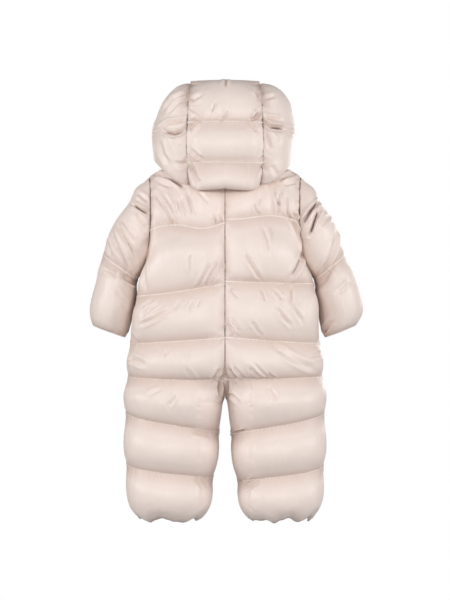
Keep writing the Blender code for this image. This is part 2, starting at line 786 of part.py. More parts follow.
def hood_out(point, from_seam):
    """The way out of the hood: away from the head's middle, but along the strip's seams beside them."""
    away = point - HEAD_CENTRE
    away.x *= min(1.0, from_seam / SEAM_TURN)
    return away.normalized()


def strip_samples():
    """The rows of the hood's centre strip."""
    rows = []
    for place, fraction in channel_fractions(STRIP_LINES, STRIP_ROWS):
        edge = strip_edge(place)
        middle = Vector((0.0, along(STRIP, "middle_y", place), along(STRIP, "middle_z", place)))
        row = []
        for column in range(STRIP_COLUMNS + 1):
            share = 2.0 * column / STRIP_COLUMNS - 1.0
            point = mix(middle, edge, share * share)
            point.x = share * (edge.x - HALF_GAP)
            across = 1.0 - abs(share) ** 7
            out = hood_out(point, edge.x * (1.0 - abs(share)))
            if place < 1.0:
                neck = neck_chord(STRIP_NECK * abs(share))
                neck.x = math.copysign(max(0.0, neck.x - HALF_GAP), share)
                point = mix(neck, point, smooth_step(place))
            row.append(Sample(point, HOOD_PUFF * arch(fraction) * across, out))
        rows.append(row)
    return rows


def side_point(place, share):
    """A point of the left side panel, from the strip's seam (0) round to the face's edge (1)."""
    start = strip_edge(along(SIDES, "strip", place))
    widest = Vector([along(SIDES, "side_" + axis, place) for axis in "xyz"])
    end = Vector([along(SIDES, "face_" + axis, place) for axis in "xyz"])
    near, swing = (start, 2 * share) if share < 0.5 else (end, 2 - 2 * share)
    sine, cosine = math.sin(math.pi / 2 * swing), math.cos(math.pi / 2 * swing)
    ease = sine * sine
    return Vector((
        near.x + (widest.x - near.x) * sine,
        widest.y + (near.y - widest.y) * cosine,
        mix(near.z, widest.z, ease),
    ))


def top_place(place, share):
    """Where a point of a side panel's last row lies on the strip's edge, from crown to forehead."""
    return strip_edge(mix(along(SIDES, "strip", place), len(STRIP) - 1, share))


def side_samples():
    """The rows of the left side panel, from the neck to the crown."""
    last = len(SIDES) - 1
    rows = []
    for place, fraction in channel_fractions(SIDE_LINES, SIDE_ROWS):
        closing = max(0.0, (place - last + 2.0) / 2.0) ** 2
        row = []
        for column in range(SIDE_COLUMNS + 1):
            share = column / SIDE_COLUMNS
            point = mix(side_point(place, share), top_place(place, share), closing)
            if place < 1.0:
                neck = neck_chord(mix(STRIP_NECK, FACE_NECK, share))
                point = mix(neck, point, smooth_step(place))
            point.x += HALF_GAP if share == 0.0 or place == last else 0.0
            edge = min(1.0, share / 0.2, (1.0 - share) / 0.2)
            across = 1.0 - (1.0 - edge) ** 2
            out = hood_out(point, point.x - strip_edge(place).x if share > 0.0 else 0.0)
            row.append(Sample(point, HOOD_PUFF * arch(fraction) * across, out))
        rows.append(row)
    return rows


def hood_lift(point):
    """Keep the hood's neck edge clear of the body's."""
    return Vector((point.x, point.y, point.z + SEAM_GAP))


def make_hood():
    """The hood's centre strip and its two side panels."""
    wall_object("hood_centre", strip_samples(), CLOTH, hold=hood_lift)
    grid = side_samples()
    for name, side in (("hood_side_left", 1), ("hood_side_right", -1)):
        wall_object(name, grid, CLOTH, hold=hood_lift, side=side)


def main():
    """Make the whole suit."""
    start_empty()
    line = make_body()
    make_sleeves()
    make_hood()
    make_chain(line)
    make_slider(line)
    make_pull(line)


main()
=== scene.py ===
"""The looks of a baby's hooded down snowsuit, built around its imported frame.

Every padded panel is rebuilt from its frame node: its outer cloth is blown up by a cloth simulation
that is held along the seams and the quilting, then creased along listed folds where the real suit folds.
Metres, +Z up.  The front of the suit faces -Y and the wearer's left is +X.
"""
import logging
import math
from collections import defaultdict
from collections.abc import Callable
from dataclasses import dataclass, field
from enum import Enum

import bmesh
import bpy
import numpy as np
from mathutils import Matrix, Vector, noise
from mathutils.bvhtree import BVHTree
from mathutils.kdtree import KDTree


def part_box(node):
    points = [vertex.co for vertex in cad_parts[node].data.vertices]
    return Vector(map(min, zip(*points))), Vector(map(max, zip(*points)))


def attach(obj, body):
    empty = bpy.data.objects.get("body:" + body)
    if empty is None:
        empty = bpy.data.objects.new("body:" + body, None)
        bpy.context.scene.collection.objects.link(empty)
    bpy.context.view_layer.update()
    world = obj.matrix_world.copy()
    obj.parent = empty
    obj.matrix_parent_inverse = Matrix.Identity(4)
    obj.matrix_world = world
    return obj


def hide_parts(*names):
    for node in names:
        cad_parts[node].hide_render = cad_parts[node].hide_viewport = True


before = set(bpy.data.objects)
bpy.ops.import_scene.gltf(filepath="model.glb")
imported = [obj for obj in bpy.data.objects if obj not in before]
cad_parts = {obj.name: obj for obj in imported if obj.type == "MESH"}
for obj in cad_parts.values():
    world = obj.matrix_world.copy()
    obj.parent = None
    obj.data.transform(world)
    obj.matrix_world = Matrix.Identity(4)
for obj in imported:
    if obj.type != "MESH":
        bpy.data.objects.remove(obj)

Array, Mesh, Edited = np.ndarray, bpy.types.Mesh, bmesh.types.BMesh
Material, Object = bpy.types.Material, bpy.types.Object
Socket = bpy.types.NodeSocket
Setting = float | tuple | Socket        # what a socket can be given
LOG = logging.getLogger("snowsuit")
MM = 0.001
BODY = "suit"

CLOTH_NODES = ("back_left", "back_right", "front_left", "front_right", "sleeve_left", "sleeve_right",
               "hood_centre", "hood_side_left", "hood_side_right", "zip_tape_left", "zip_tape_right", "zip_chain")
LEGS, HOOD, SLEEVES = ("back", "front"), ("hood",), ("sleeve",)

# the panels of the frame
WALL = 2.5 * MM                 # where it is sewn through
MERGED = 0.01 * MM              # points nearer than this are one
RIM_TOLERANCE = 0.06 * MM
RIM_ANGLE = math.radians(55)    # an edge this sharp is where a panel's outer cloth ends
QUILT_ANGLE = math.radians(-20)
QUILT_SHARE = 0.5               # of a line's edges are sharp where it is quilted
QUILT_SLOPE = 0.4               # the most a line rises and falls, as a share of its length
SEAM_GAP = 1.2 * MM             # panels this near to each other are sewn together
LINE_STEPS = (0.0, 0.33, 0.67)  # where spots are noted along each edge of a seam or quilting line
WHOLLY = 0.999                  # a share this near to one is one
COARSE_LEVELS = 2               # subdivisions before the simulation
FINE_LEVELS = 1                 # and after it
FINE_CUTS = 2                   # of every edge near a fold
FINE_REACH = 2.5                # times a fold's width
FINE_ROUNDING = 1.0
FINE_FACING = 0.1               # how much a face looks a fold's way, at the least

# where the looks lie a little off the frame
BODY_HALF = 170 * MM            # the suit's half width, over the hips
ASIDE_REACH = 40 * MM
GAP_REACH = 70 * MM
LEAN = 16 * MM                  # how far the flattened sides stand out
LEAN_HEIGHT = -200 * MM
LEAN_REACH = 95 * MM
LEAN_ASIDE = 144 * MM           # where sleeve and body meet at that height, from the middle of the suit
LEAN_SLOPE = 0.2
LEAN_WIDTH = 26 * MM
LOW_HOOD_LINE = 130 * MM        # the hood's sides have no sharp quilting line below this
LOW_LINE_RAISED = 0.85          # of the way to the cloth beside it
HOOD_LIFTED = 3.5               # times the usual lift of a quilting line

# the filling
ROOM_START = 2 * MM
ROOM = 30 * MM                  # how far ahead a swelling panel minds another
ROOM_SHARE = 0.46
CLOSE = 24 * MM                 # cloth this near to a sleeve, or a sleeve to the body, leans on it
UNDERARM = 120 * MM             # from the middle of the suit
INNER_LEG = 45 * MM             # from the middle of the suit
CROTCH = -330 * MM
INNER_LEG_SHARE = 0.4
CALMED_SHARE = 0.6              # how far each round takes a point towards its neighbours' mean
LAST_CALMING = 2                # rounds, once the panels lean on each other
CLOTH = {"quality": 5, "mass": 0.15, "tension_stiffness": 15.0, "compression_stiffness": 15.0,
         "shear_stiffness": 5.0, "bending_stiffness": 0.1, "air_damping": 1.0, "use_pressure": True}
SIDEWAYS_DOME = 0.3             # of a dome's height is left where the cloth looks sideways
SAG = 3.0 * MM                  # the down settles this far in the middle of a channel
SAG_REACH = 14 * MM
DROOP_REACH = 5 * MM

# the folds
CLOTH_APART = 0.8 * MM          # of the outer and the inner cloth, at the least
INNER_APART = 60.0              # millimetres from a seam, as good as none
FOLD_SHARE = 1.3                # of the depth given for each fold
FOLD_LEAST = 0.6                # added to all of them, in millimetres
FOLD_SQUARENESS = 1.4           # of a trough
RIDGE_SHARE = 0.6               # a ridge's height as a share of its trough's depth
RIDGE_APART = 2.0               # from the trough's middle, times its width
RIDGE_WIDTH = 0.9               # times the trough's width
FOLD_FADE = 0.22                # of a fold's length, over which its ends fade
FOLD_END = 0.15                 # of its depth is left at its ends
FOLD_TURN = 0.4                 # cloth turned this much to a fold's facing shows it whole
HELD_REACH = 6.0                # millimetres from a seam to where folds have their whole depth
HELD_SHARE = 0.2                # of that depth is left at the seam
GATHER_LEAN = 0.4               # how far fine gathers lean along their seam
PATCH_OFFSET = Vector((7.0, 1.0, 3.0))      # so that the patterns of the puckers don't match
FINE_OFFSET = Vector((3.0, 5.0, 8.0))

# the gathered hems
HEM_MIDDLE = 95 * MM            # from the middle of the suit
HEM_TOP = -545 * MM
HEM_DEPTH = 28 * MM
HEM_LOBES = 2.5
HEM_APART = 5.0                 # between the two legs' patterns
HEM_RIPPLE = 0.25               # of smaller scallops among the large ones
HEM_GATHER = 5.0 * MM
HEM_SCALLOP = 9 * MM

# the zip
CHAIN_END = 18 * MM             # of the chain, below its last tooth
TOOTH_ASIDE = 0.7 * MM


# ---------------------------------------------------------------- meshes
def node_mesh(node_name: str) -> Edited:
    """Open a frame node's mesh with its triangles joined at their corners.

    Args:
        node_name: the node.

    Returns:
        The mesh, which the caller frees.
    """
    mesh = bmesh.new()
    mesh.from_mesh(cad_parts[node_name].data)
    bmesh.ops.remove_doubles(mesh, verts=mesh.verts[:], dist=MERGED)
    return mesh


def panel_mesh(node_name: str) -> Edited:
    """Open a panel's mesh with its grid of four-sided faces put back together.

    Args:
        node_name: the panel's frame node.

    Returns:
        The mesh, which the caller frees.
    """
    mesh = node_mesh(node_name)
    bmesh.ops.join_triangles(mesh, faces=mesh.faces[:], angle_face_threshold=math.pi,
                             angle_shape_threshold=math.pi)
    mesh.normal_update()
    return mesh


def kept(mesh: Edited, name: str) -> Mesh:
    """Keep an edited mesh under a name, and free it.

    Args:
        mesh: the edited mesh.
        name: the name it is kept under.

    Returns:
        The kept mesh.
    """
    data = bpy.data.meshes.new(name)
    mesh.to_mesh(data)
    mesh.free()
    return data


def added(name: str, data: bpy.types.ID) -> Object:
    """Add an object to the scene.

    Args:
        name: its name.
        data: its mesh, light or camera.

    Returns:
        The object.
    """
    item = bpy.data.objects.new(name, data)
    bpy.context.scene.collection.objects.link(item)
    return item


def piece(name: str, data: Mesh, finish: Material, body: str,
          node_name: str = None) -> Object:
    """Add a finished piece that goes with a body.

    Args:
        name: the piece's name.
        data: its mesh.
        finish: its material.
        body: the body it rides on.
        node_name: the frame node that it takes the place of, if any.

    Returns:
        The piece.
    """
    data.materials.clear()
    data.materials.append(finish)
    item = added(name, data)
    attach(item, body)
    if node_name:
        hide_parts(node_name)
    return item


def flood(mesh: Edited, barred: set, crossable: Callable) -> list:
    """Group the faces that can be reached from one another.

    Args:
        mesh: the mesh.
        barred: faces that belong to no group.
        crossable: tells of an edge whether the walk may cross it.

    Returns:
        Lists of faces, the largest area first.
    """
    seen = set(barred)
    groups = []
    for first in mesh.faces:
        if first in seen:
            continue
        seen.add(first)
        stack, group = [first], []
        while stack:
            face = stack.pop()
            group.append(face)
            for edge in face.edges:
                for other in edge.link_faces:
                    if other not in seen and crossable(edge):
                        seen.add(other)
                        stack.append(other)
        groups.append(group)
    return sorted(groups, key=lambda group: -sum(face.calc_area() for face in group))


def outer_faces(mesh: Edited) -> set:
    """Find the faces of a panel's outer cloth: all that is not its rim or its inner cloth.

    Args:
        mesh: the panel's mesh.

    Returns:
        Its outer faces.
    """
    through = {edge for edge in mesh.edges if abs(edge.calc_length() - WALL) < RIM_TOLERANCE}
    rims = set()
    for face in mesh.faces:
        count = sum(edge in through for edge in face.edges)
        if count >= 2 or (count == 1 and len(face.verts) == 3):
            rims.add(face)
    groups = flood(mesh, rims, lambda edge: True)
    if len(groups) < 2:
        groups = flood(mesh, set(), lambda edge: edge.calc_face_angle_signed(0.0) < RIM_ANGLE)
    return set(groups[0])


def grid_line(start: bmesh.types.BMEdge, inside: set) -> set:
    """Follow the grid both ways from an edge, straight on through every corner, to the panel's seams.

    Args:
        start: the edge.
        inside: the edges that may be followed.

    Returns:
        The line's edges.
    """
    line = {start}
    for corner in start.verts:
        edge = start
        while True:
            beside = set(edge.link_faces)
            ahead = (corner.co - edge.other_vert(corner).co).normalized()
            onward = [other for other in corner.link_edges
                      if other in inside and other not in line and not beside & set(other.link_faces)]
            if not onward:
                break
            edge = max(onward, key=lambda other: ahead.dot((other.other_vert(corner).co - corner.co).normalized()))
            line.add(edge)
            corner = edge.other_vert(corner)
    return line


def quilted_edges(mesh: Edited, outer: set) -> set:
    """Find the edges that lie on quilting lines: level lines, sharp inward nearly all along.

    Args:
        mesh: the panel's mesh.
        outer: the faces of its outer cloth.

    Returns:
        The edges on such lines.
    """
    inside = {edge for edge in mesh.edges if len(edge.link_faces) == 2 and set(edge.link_faces) <= outer}
    sharp = {edge for edge in inside if edge.calc_face_angle_signed() < QUILT_ANGLE}
    found = set()
    for start in sharp:
        if start in found:
            continue
        line = grid_line(start, inside)
        length = sum(edge.calc_length() for edge in line)
        heights = [corner.co.z for edge in line for corner in edge.verts]
        level = max(heights) - min(heights) < QUILT_SLOPE * length
        if level and len(line & sharp) > QUILT_SHARE * len(line):
            found |= line
    return found


def solved(data: Mesh, levels: int) -> Mesh:
    """Subdivide a mesh with Subdivision Surface.

    Args:
        data: the mesh, which is removed.
        levels: how many times.

    Returns:
        The result as a new mesh.
    """
    item = added(data.name, data)
    smooth = item.modifiers.new("subdivision", "SUBSURF")
    smooth.levels = smooth.render_levels = levels
    smooth.use_limit_surface = False
    bpy.context.view_layer.update()
    graph = bpy.context.evaluated_depsgraph_get()
    result = bpy.data.meshes.new_from_object(item.evaluated_get(graph), preserve_all_data_layers=True,
                                             depsgraph=graph)
    bpy.data.objects.remove(item)
    bpy.data.meshes.remove(data)
    return result


def fold_distance(points: Array, fold: "Fold") -> tuple:
    """Measure how far points are from a fold's line, as seen from the back or front.

    Args:
        points: one row each, in metres.
        fold: the fold.

    Returns:
        Each point's distance in millimetres, and the share of the line's length where it is nearest.
    """
    spots = points[:, [0, 2]] / MM
    corners = [np.array(corner, float) for corner in fold.line]
    spans = [float(np.linalg.norm(last - first)) for first, last in zip(corners, corners[1:])]
    nearest = np.full(len(spots), 1e9)
    share = np.zeros(len(spots))
    passed = 0.0
    for first, last, span in zip(corners, corners[1:], spans):
        way = (last - first) / span
        along = np.clip((spots - first) @ way, 0.0, span)
        apart = np.linalg.norm(spots - first - along[:, None] * way, axis=1)
        closer = apart < nearest
        nearest = np.where(closer, apart, nearest)
        share = np.where(closer, (passed + along) / sum(spans), share)
        passed += span
    return nearest, share


def refined(data: Mesh, folds: tuple) -> Mesh:
    """Cut the faces of a panel's outer cloth that lie on folds into smaller ones.

    Args:
        data: the panel's mesh.
        folds: its folds.

    Returns:
        The same mesh.
    """
    mesh = bmesh.new()
    mesh.from_mesh(data)
    mesh.normal_update()
    layer = mesh.faces.layers.int["outer"]
    faces = [face for face in mesh.faces if face[layer]]
    middles = np.array([face.calc_center_median() for face in faces])
    ways = np.array([face.normal for face in faces])
    near = np.zeros(len(faces), bool)
    for fold in folds:
        apart = fold_distance(middles, fold)[0]
        near |= (apart < FINE_REACH * fold.width) & (ways @ np.array(fold.facing.value) > FINE_FACING)
    edges = {edge for face, is_near in zip(faces, near) if is_near for edge in face.edges}
    bmesh.ops.subdivide_edges(mesh, edges=list(edges), cuts=FINE_CUTS, use_grid_fill=True, smooth=FINE_ROUNDING)
    mesh.to_mesh(data)
    mesh.free()
    return data


def column(data: Mesh, name: str, kind: type = np.float32) -> Array:
    """Read a number for each point or face out of a mesh attribute.

    Args:
        data: the mesh.
        name: the attribute.
        kind: the numbers' type.

    Returns:
        The numbers.
    """
    layer = data.attributes[name].data
    values = np.zeros(len(layer), kind)
    layer.foreach_get("value", values)
    return values


def positions(data: Mesh) -> Array:
    """Read a mesh's points.

    Args:
        data: the mesh.

    Returns:
        One row for each, in metres.
    """
    values = np.zeros(len(data.vertices) * 3)
    data.vertices.foreach_get("co", values)
    return values.reshape(-1, 3)


def normals(data: Mesh) -> Array:
    """Read the outward direction at each of a mesh's points.

    Args:
        data: the mesh.

    Returns:
        One row for each, of length 1.
    """
    values = np.zeros(len(data.vertices) * 3, np.float32)
    data.vertex_normals.foreach_get("vector", values)
    return values.reshape(-1, 3).astype(float)


def nodes_tree(names: list) -> BVHTree:
    """Join the surfaces of several frame nodes, to measure from.

    Args:
        names: the nodes.

    Returns:
        Their surface.
    """
    mesh = bmesh.new()
    for name in names:
        mesh.from_mesh(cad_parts[name].data)
    tree = BVHTree.FromBMesh(mesh)
    mesh.free()
    return tree


def depth_left(data: Mesh, points: Array, out: Array, creases: Array) -> Array:
    """Find how deep a crease can go at each point before the outer cloth meets the inner one.

    Args:
        data: the panel's mesh.
        points: its points.
        out: the outward direction at each.
        creases: how far the folds move each outward, in metres.

    Returns:
        Metres inward.
    """
    mesh = bmesh.new()
    mesh.from_mesh(data)
    tree = BVHTree.FromBMesh(mesh)
    mesh.free()
    left = np.full(len(points), WALL)
    for number in np.flatnonzero(creases < -CLOTH_APART):
        way = -Vector(out[number])
        distance = tree.ray_cast(Vector(points[number]) + way * CLOTH_APART, way)[3]
        left[number] = distance or 0.0
    return left


def note(data: Mesh, name: str, values: Array) -> None:
    """Write a number or a place for each point into a mesh attribute.

    Args:
        data: the mesh.
        name: the attribute.
        values: one number or row for each point.
    """
    kind, key = ("FLOAT_VECTOR", "vector") if values.ndim > 1 else ("FLOAT", "value")
    layer = data.attributes.get(name) or data.attributes.new(name, kind, "POINT")
    layer.data.foreach_set(key, values.astype(np.float32).ravel())


def place(data: Mesh, points: Array) -> None:
    """Move a mesh's points."""
    data.vertices.foreach_set("co", points.astype(np.float32).ravel())
    data.update()


def eased(values: Array) -> Array:
    """Turn shares into soft steps from 0 to 1."""
    share = np.clip(values, 0.0, 1.0)
    return share * share * (3.0 - 2.0 * share)


# ---------------------------------------------------------------- cloth
class Facing(Enum):
    """The way a fold looks out of the suit."""
    BACK = (0.0, 1.0, 0.0)
    FRONT = (0.0, -1.0, 0.0)


class LineKind(Enum):
    """What a line on a panel is."""
    QUILTED = "stitched through both cloths"
    SEAM = "sewn to another panel"
    OPEN = "an open edge"


@dataclass(frozen=True)
class Fold:
    """A crease in the cloth: a soft trough between two low ridges.

    Args:
        line: two or more points, each across and up, in millimetres.
        depth: the trough's depth in millimetres.
        width: half the trough's width in millimetres.
        facing: the way the cloth looks there.
    """
    line: tuple
    depth: float
    width: float
    facing: Facing = Facing.BACK


@dataclass(frozen=True)
class Slide:
    """A level band of some panels where the looks lie a little off the frame.

    Args:
        nodes: the start of the panels' names.
        height: the band's middle; this and what follows are in millimetres.
        reach: half its height.
        inner: how far up it goes at the middle of the suit.
        outer: and at its sides, where the body is widest.
        aside: how far the sides go outward: the left one, then the right one.
        aside_from: nearer than this to the middle of the suit they stay.
        gap: how far the two halves part at the middle of the suit, each.
        left_only: whether the right half stays.
    """
    nodes: tuple
    height: float
    reach: float
    inner: float = 0.0
    outer: float = 0.0
    aside: tuple = (0.0, 0.0)
    aside_from: float = 0.0
    gap: float = 0.0
    left_only: bool = False

    def step(self, points: Array) -> Array:
        """Work out how far each point goes.

        Args:
            points: one row each, in metres.

        Returns:
            Each point's step, in metres.
        """
        height, reach, inner, outer, left, right, aside_from, gap = (size * MM for size in (
            self.height, self.reach, self.inner, self.outer, *self.aside, self.aside_from, self.gap))
        within = np.clip(1.0 - ((points[:, 2] - height) / reach) ** 2, 0.0, 1.0) ** 2
        if self.left_only:
            within = within * eased(points[:, 0] / ASIDE_REACH)
        across = np.abs(points[:, 0])
        out = eased((across - aside_from) / ASIDE_REACH)
        steps = np.zeros_like(points)
        steps[:, 2] = within * (inner + (outer - inner) * np.clip(across / BODY_HALF, 0.0, 1.0))
        steps[:, 0] = within * out * np.where(points[:, 0] > 0.0, left, -right)
        steps[:, 0] += within * gap * (1.0 - eased(across / GAP_REACH)) * np.sign(points[:, 0])
        return steps


def leant(points: Array) -> Array:
    """Flatten the sleeves and the sides of the body where they lean on each other: both grow squarer.

    Args:
        points: one row each, in metres.

    Returns:
        Each point's step, in metres.
    """
    within = np.clip(1.0 - ((points[:, 2] - LEAN_HEIGHT) / LEAN_REACH) ** 2, 0.0, 1.0)
    meeting = LEAN_ASIDE - LEAN_SLOPE * (points[:, 2] - LEAN_HEIGHT)
    near = np.exp(-((np.abs(points[:, 0]) - meeting) / LEAN_WIDTH) ** 2)
    off_middle = np.clip(np.abs(points[:, 1]) / LEAN_WIDTH, 0.0, 1.0)
    steps = np.zeros_like(points)
    steps[:, 1] = LEAN * within * near * off_middle * np.sign(points[:, 1])
    return steps


@dataclass
class Panel:
    """A padded panel of the suit.

    Args:
        node: the frame node it is the looks of.
        folds: its listed creases.
        fill: how tight it is filled, from 0 to 1; not used.
        smoothed_below: quilting lines lower than this height show only as a soft dip, in metres.
        swell: how much of the simulation's swelling it keeps.
        droop: slides of the filled cloth alone, not of its seams.
        lifted: how many times the usual lift its lines have.
    """
    node: str
    folds: tuple = ()
    fill: float = 0.7
    smoothed_below: float = None
    swell: float = 1.0
    droop: tuple = ()
    lifted: float = 1.0
    data: Mesh = field(default=None, repr=False)

    def draft(self) -> None:
        """Rebuild the panel as a smooth closed form with sharp rims and quilting lines."""
        mesh = panel_mesh(self.node)
        held = mesh.verts.layers.float.new("held")
        line = mesh.verts.layers.float.new("line")
        rim_at = mesh.verts.layers.float.new("rim")
        crease = mesh.edges.layers.float.new("crease_edge")
        skin = mesh.faces.layers.int.new("outer")
        outer = outer_faces(mesh)
        quilted = quilted_edges(mesh, outer)
        spots = np.array([corner.co for corner in mesh.verts])
        steps = sum(slide.step(spots) for slide in SLIDES if self.node.startswith(slide.nodes))
        if not self.node.startswith(HOOD):
            steps = steps + leant(spots)
        for corner, step in zip(mesh.verts, steps):
            corner.co += Vector(step)
        if self.smoothed_below is not None:
            quilted = self.without_low_lines(quilted, outer)
        for face in mesh.faces:
            face[skin] = int(face in outer)
            face.smooth = True
        for edge in mesh.edges:
            rim = len(set(edge.link_faces) & outer) == 1
            sharp = abs(edge.calc_face_angle_signed(0.0)) > RIM_ANGLE and not set(edge.link_faces) <= outer
            edge[crease] = 1.0 if rim or sharp or edge in quilted else 0.0
        lines = {corner for edge in quilted for corner in edge.verts}
        for corner in mesh.verts:
            inside = set(corner.link_faces) <= outer
            corner[held] = 0.0 if inside and corner not in lines else 1.0
            rim = not inside and any(face in outer for face in corner.link_faces)
            corner[line] = 1.0 if rim or corner in lines else 0.0
            corner[rim_at] = float(rim)
        self.data = solved(kept(mesh, self.node + "_draft"), COARSE_LEVELS)
        note(self.data, "room", np.zeros(len(self.data.vertices)))

    def without_low_lines(self, quilted: set, outer: set) -> set:
        """Take the low quilting lines off the panel and raise the cloth along them.

        Args:
            quilted: the edges on quilting lines.
            outer: the faces of the outer cloth.

        Returns:
            The edges that stay on quilting lines.
        """
        low = {edge for edge in quilted if edge.verts[0].co.z < self.smoothed_below}
        raised = {}
        for corner in {corner for edge in low for corner in edge.verts}:
            beside = [edge.other_vert(corner).co for edge in corner.link_edges
                      if edge not in low and set(edge.link_faces) <= outer]
            if len(beside) == 2:
                raised[corner] = corner.co.lerp((beside[0] + beside[1]) / 2, LOW_LINE_RAISED)
        for corner, point in raised.items():
            corner.co = point
        return quilted - low

    def finish(self, puckers: "Puckers", valley: "Valley", cloth: Material) -> Object:
        """Crease the blown-up panel, note its seams for the finish, and put it in place of its frame node.

        Args:
            puckers: the gathers along its lines.
            valley: how its lines are lifted.
            cloth: its material.

        Returns:
            The finished piece.
        """
        data = refined(solved(self.data, FINE_LEVELS), self.folds)
        outer = column(data, "outer", np.int32).astype(bool)
        points, out = positions(data), normals(data)
        seams = SeamMap.of(data, outer, points, nodes_tree([name for name in CLOTH_NODES if name != self.node]))
        skin = sorted({corner for face, is_outer in zip(data.polygons, outer) if is_outer
                       for corner in face.vertices})
        apart = np.full(len(points), INNER_APART)
        run = np.zeros(len(points))
        at = points / MM
        joined, free = np.zeros(len(points)), np.zeros(len(points))
        lift = np.zeros(len(points))
        for corner in skin:
            point = Vector(points[corner])
            spot, number, distance = seams.tree.find(point)
            lift[corner] = puckers.lift(distance, spot, seams.ways[number])
            apart[corner] = distance / MM
            run[corner] = seams.runs[number] / MM
            joined[corner] = seams.kinds[number] is LineKind.SEAM
            free[corner] = seams.kinds[number] is LineKind.OPEN
            at[corner] = (spot + seams.ways[number] * (GATHER_LEAN * distance)) / MM
        loose = eased(apart / HELD_REACH) * (1.0 - HELD_SHARE) + HELD_SHARE
        creases = sum((fold_lift(points, out, fold) for fold in self.folds), np.zeros(len(points))) * loose
        creases = np.maximum(creases, -depth_left(data, points, out, creases))
        on_skin = np.zeros(len(points))
        on_skin[skin] = 1.0
        level = SIDEWAYS_DOME + (1.0 - SIDEWAYS_DOME) * np.abs(out[:, 1])
        lift += valley.lift(self.lifted, column(data, "room") * self.swell * level, apart * MM, joined, free)
        points += out * ((lift + creases) * on_skin)[:, None]
        filled = eased(apart * MM / SAG_REACH) * on_skin
        points[:, 2] -= SAG * filled
        hanging = eased(apart * MM / DROOP_REACH) * on_skin
        for slide in self.droop:
            if self.node.startswith(slide.nodes):
                points += slide.step(points) * hanging[:, None]
        for side in (1, -1):
            points += Hem(side).move(points)
        place(data, points)
        for name, values in (("seam_mm", apart), ("run_mm", run), ("pressed_mm", -creases / MM),
                             ("joined", joined), ("seam_at", at)):
            note(data, name, values)
        for name in ("held", "line", "rim", "outer", "room"):
            data.attributes.remove(data.attributes[name])
        item = piece(self.node + "_padded", data, cloth, BODY, self.node)
        return item

    def outer_part(self) -> tuple:
        """Take the outer cloth alone.

        Returns:
            The points it has, and its faces numbered by those points.
        """
        outer = column(self.data, "outer", np.int32).astype(bool)
        faces = [tuple(face.vertices) for face, is_outer in zip(self.data.polygons, outer) if is_outer]
        used = sorted({corner for face in faces for corner in face})
        number = {corner: order for order, corner in enumerate(used)}
        return np.array(used), [tuple(number[corner] for corner in face) for face in faces]


class OuterCloth:
    """The outer cloth of all the panels together, before it is filled.

    Args:
        panels: the drafted panels.
    """

    def __init__(self, panels: list) -> None:
        """Join the outer cloths and number their points through.

        Args:
            panels: the drafted panels.
        """
        parts = [panel.outer_part() for panel in panels]
        self.used = [used for used, _ in parts]
        points = [positions(panel.data)[used] for panel, used in zip(panels, self.used)]
        ends = np.cumsum([0] + [len(part) for part in points])
        self.spans = [slice(first, last) for first, last in zip(ends, ends[1:])]
        self.points = np.concatenate(points)
        self.faces = np.array([[corner + first for corner in face]
                               for first, (_, faces) in zip(ends, parts) for face in faces])
        self.held = np.concatenate([column(panel.data, "held")[used] for panel, used in zip(panels, self.used)])
        self.data = bpy.data.meshes.new("cloth")
        self.data.from_pydata(self.points.tolist(), [], self.faces.tolist())
        self.out = normals(self.data)

    def calmed(self, step: Array, rounds: int) -> Array:
        """Take the short ripples out of how far the points moved; the listed folds replace them.

        Args:
            step: each point's step, in metres.
            rounds: how many times they are evened out.

        Returns:
            The calmer steps.
        """
        starts, ends = self.faces.ravel(), np.roll(self.faces, -1, axis=1).ravel()
        starts, ends = np.concatenate([starts, ends]), np.concatenate([ends, starts])
        count = np.maximum(np.bincount(starts, minlength=len(step))[:, None], 1)
        loose = (1.0 - self.held)[:, None]
        for _ in range(rounds):
            sums = [np.bincount(starts, weights=step[ends, axis], minlength=len(step)) for axis in range(3)]
            step = ((1.0 - CALMED_SHARE) * step + CALMED_SHARE * np.stack(sums, axis=1) / count) * loose
        return step


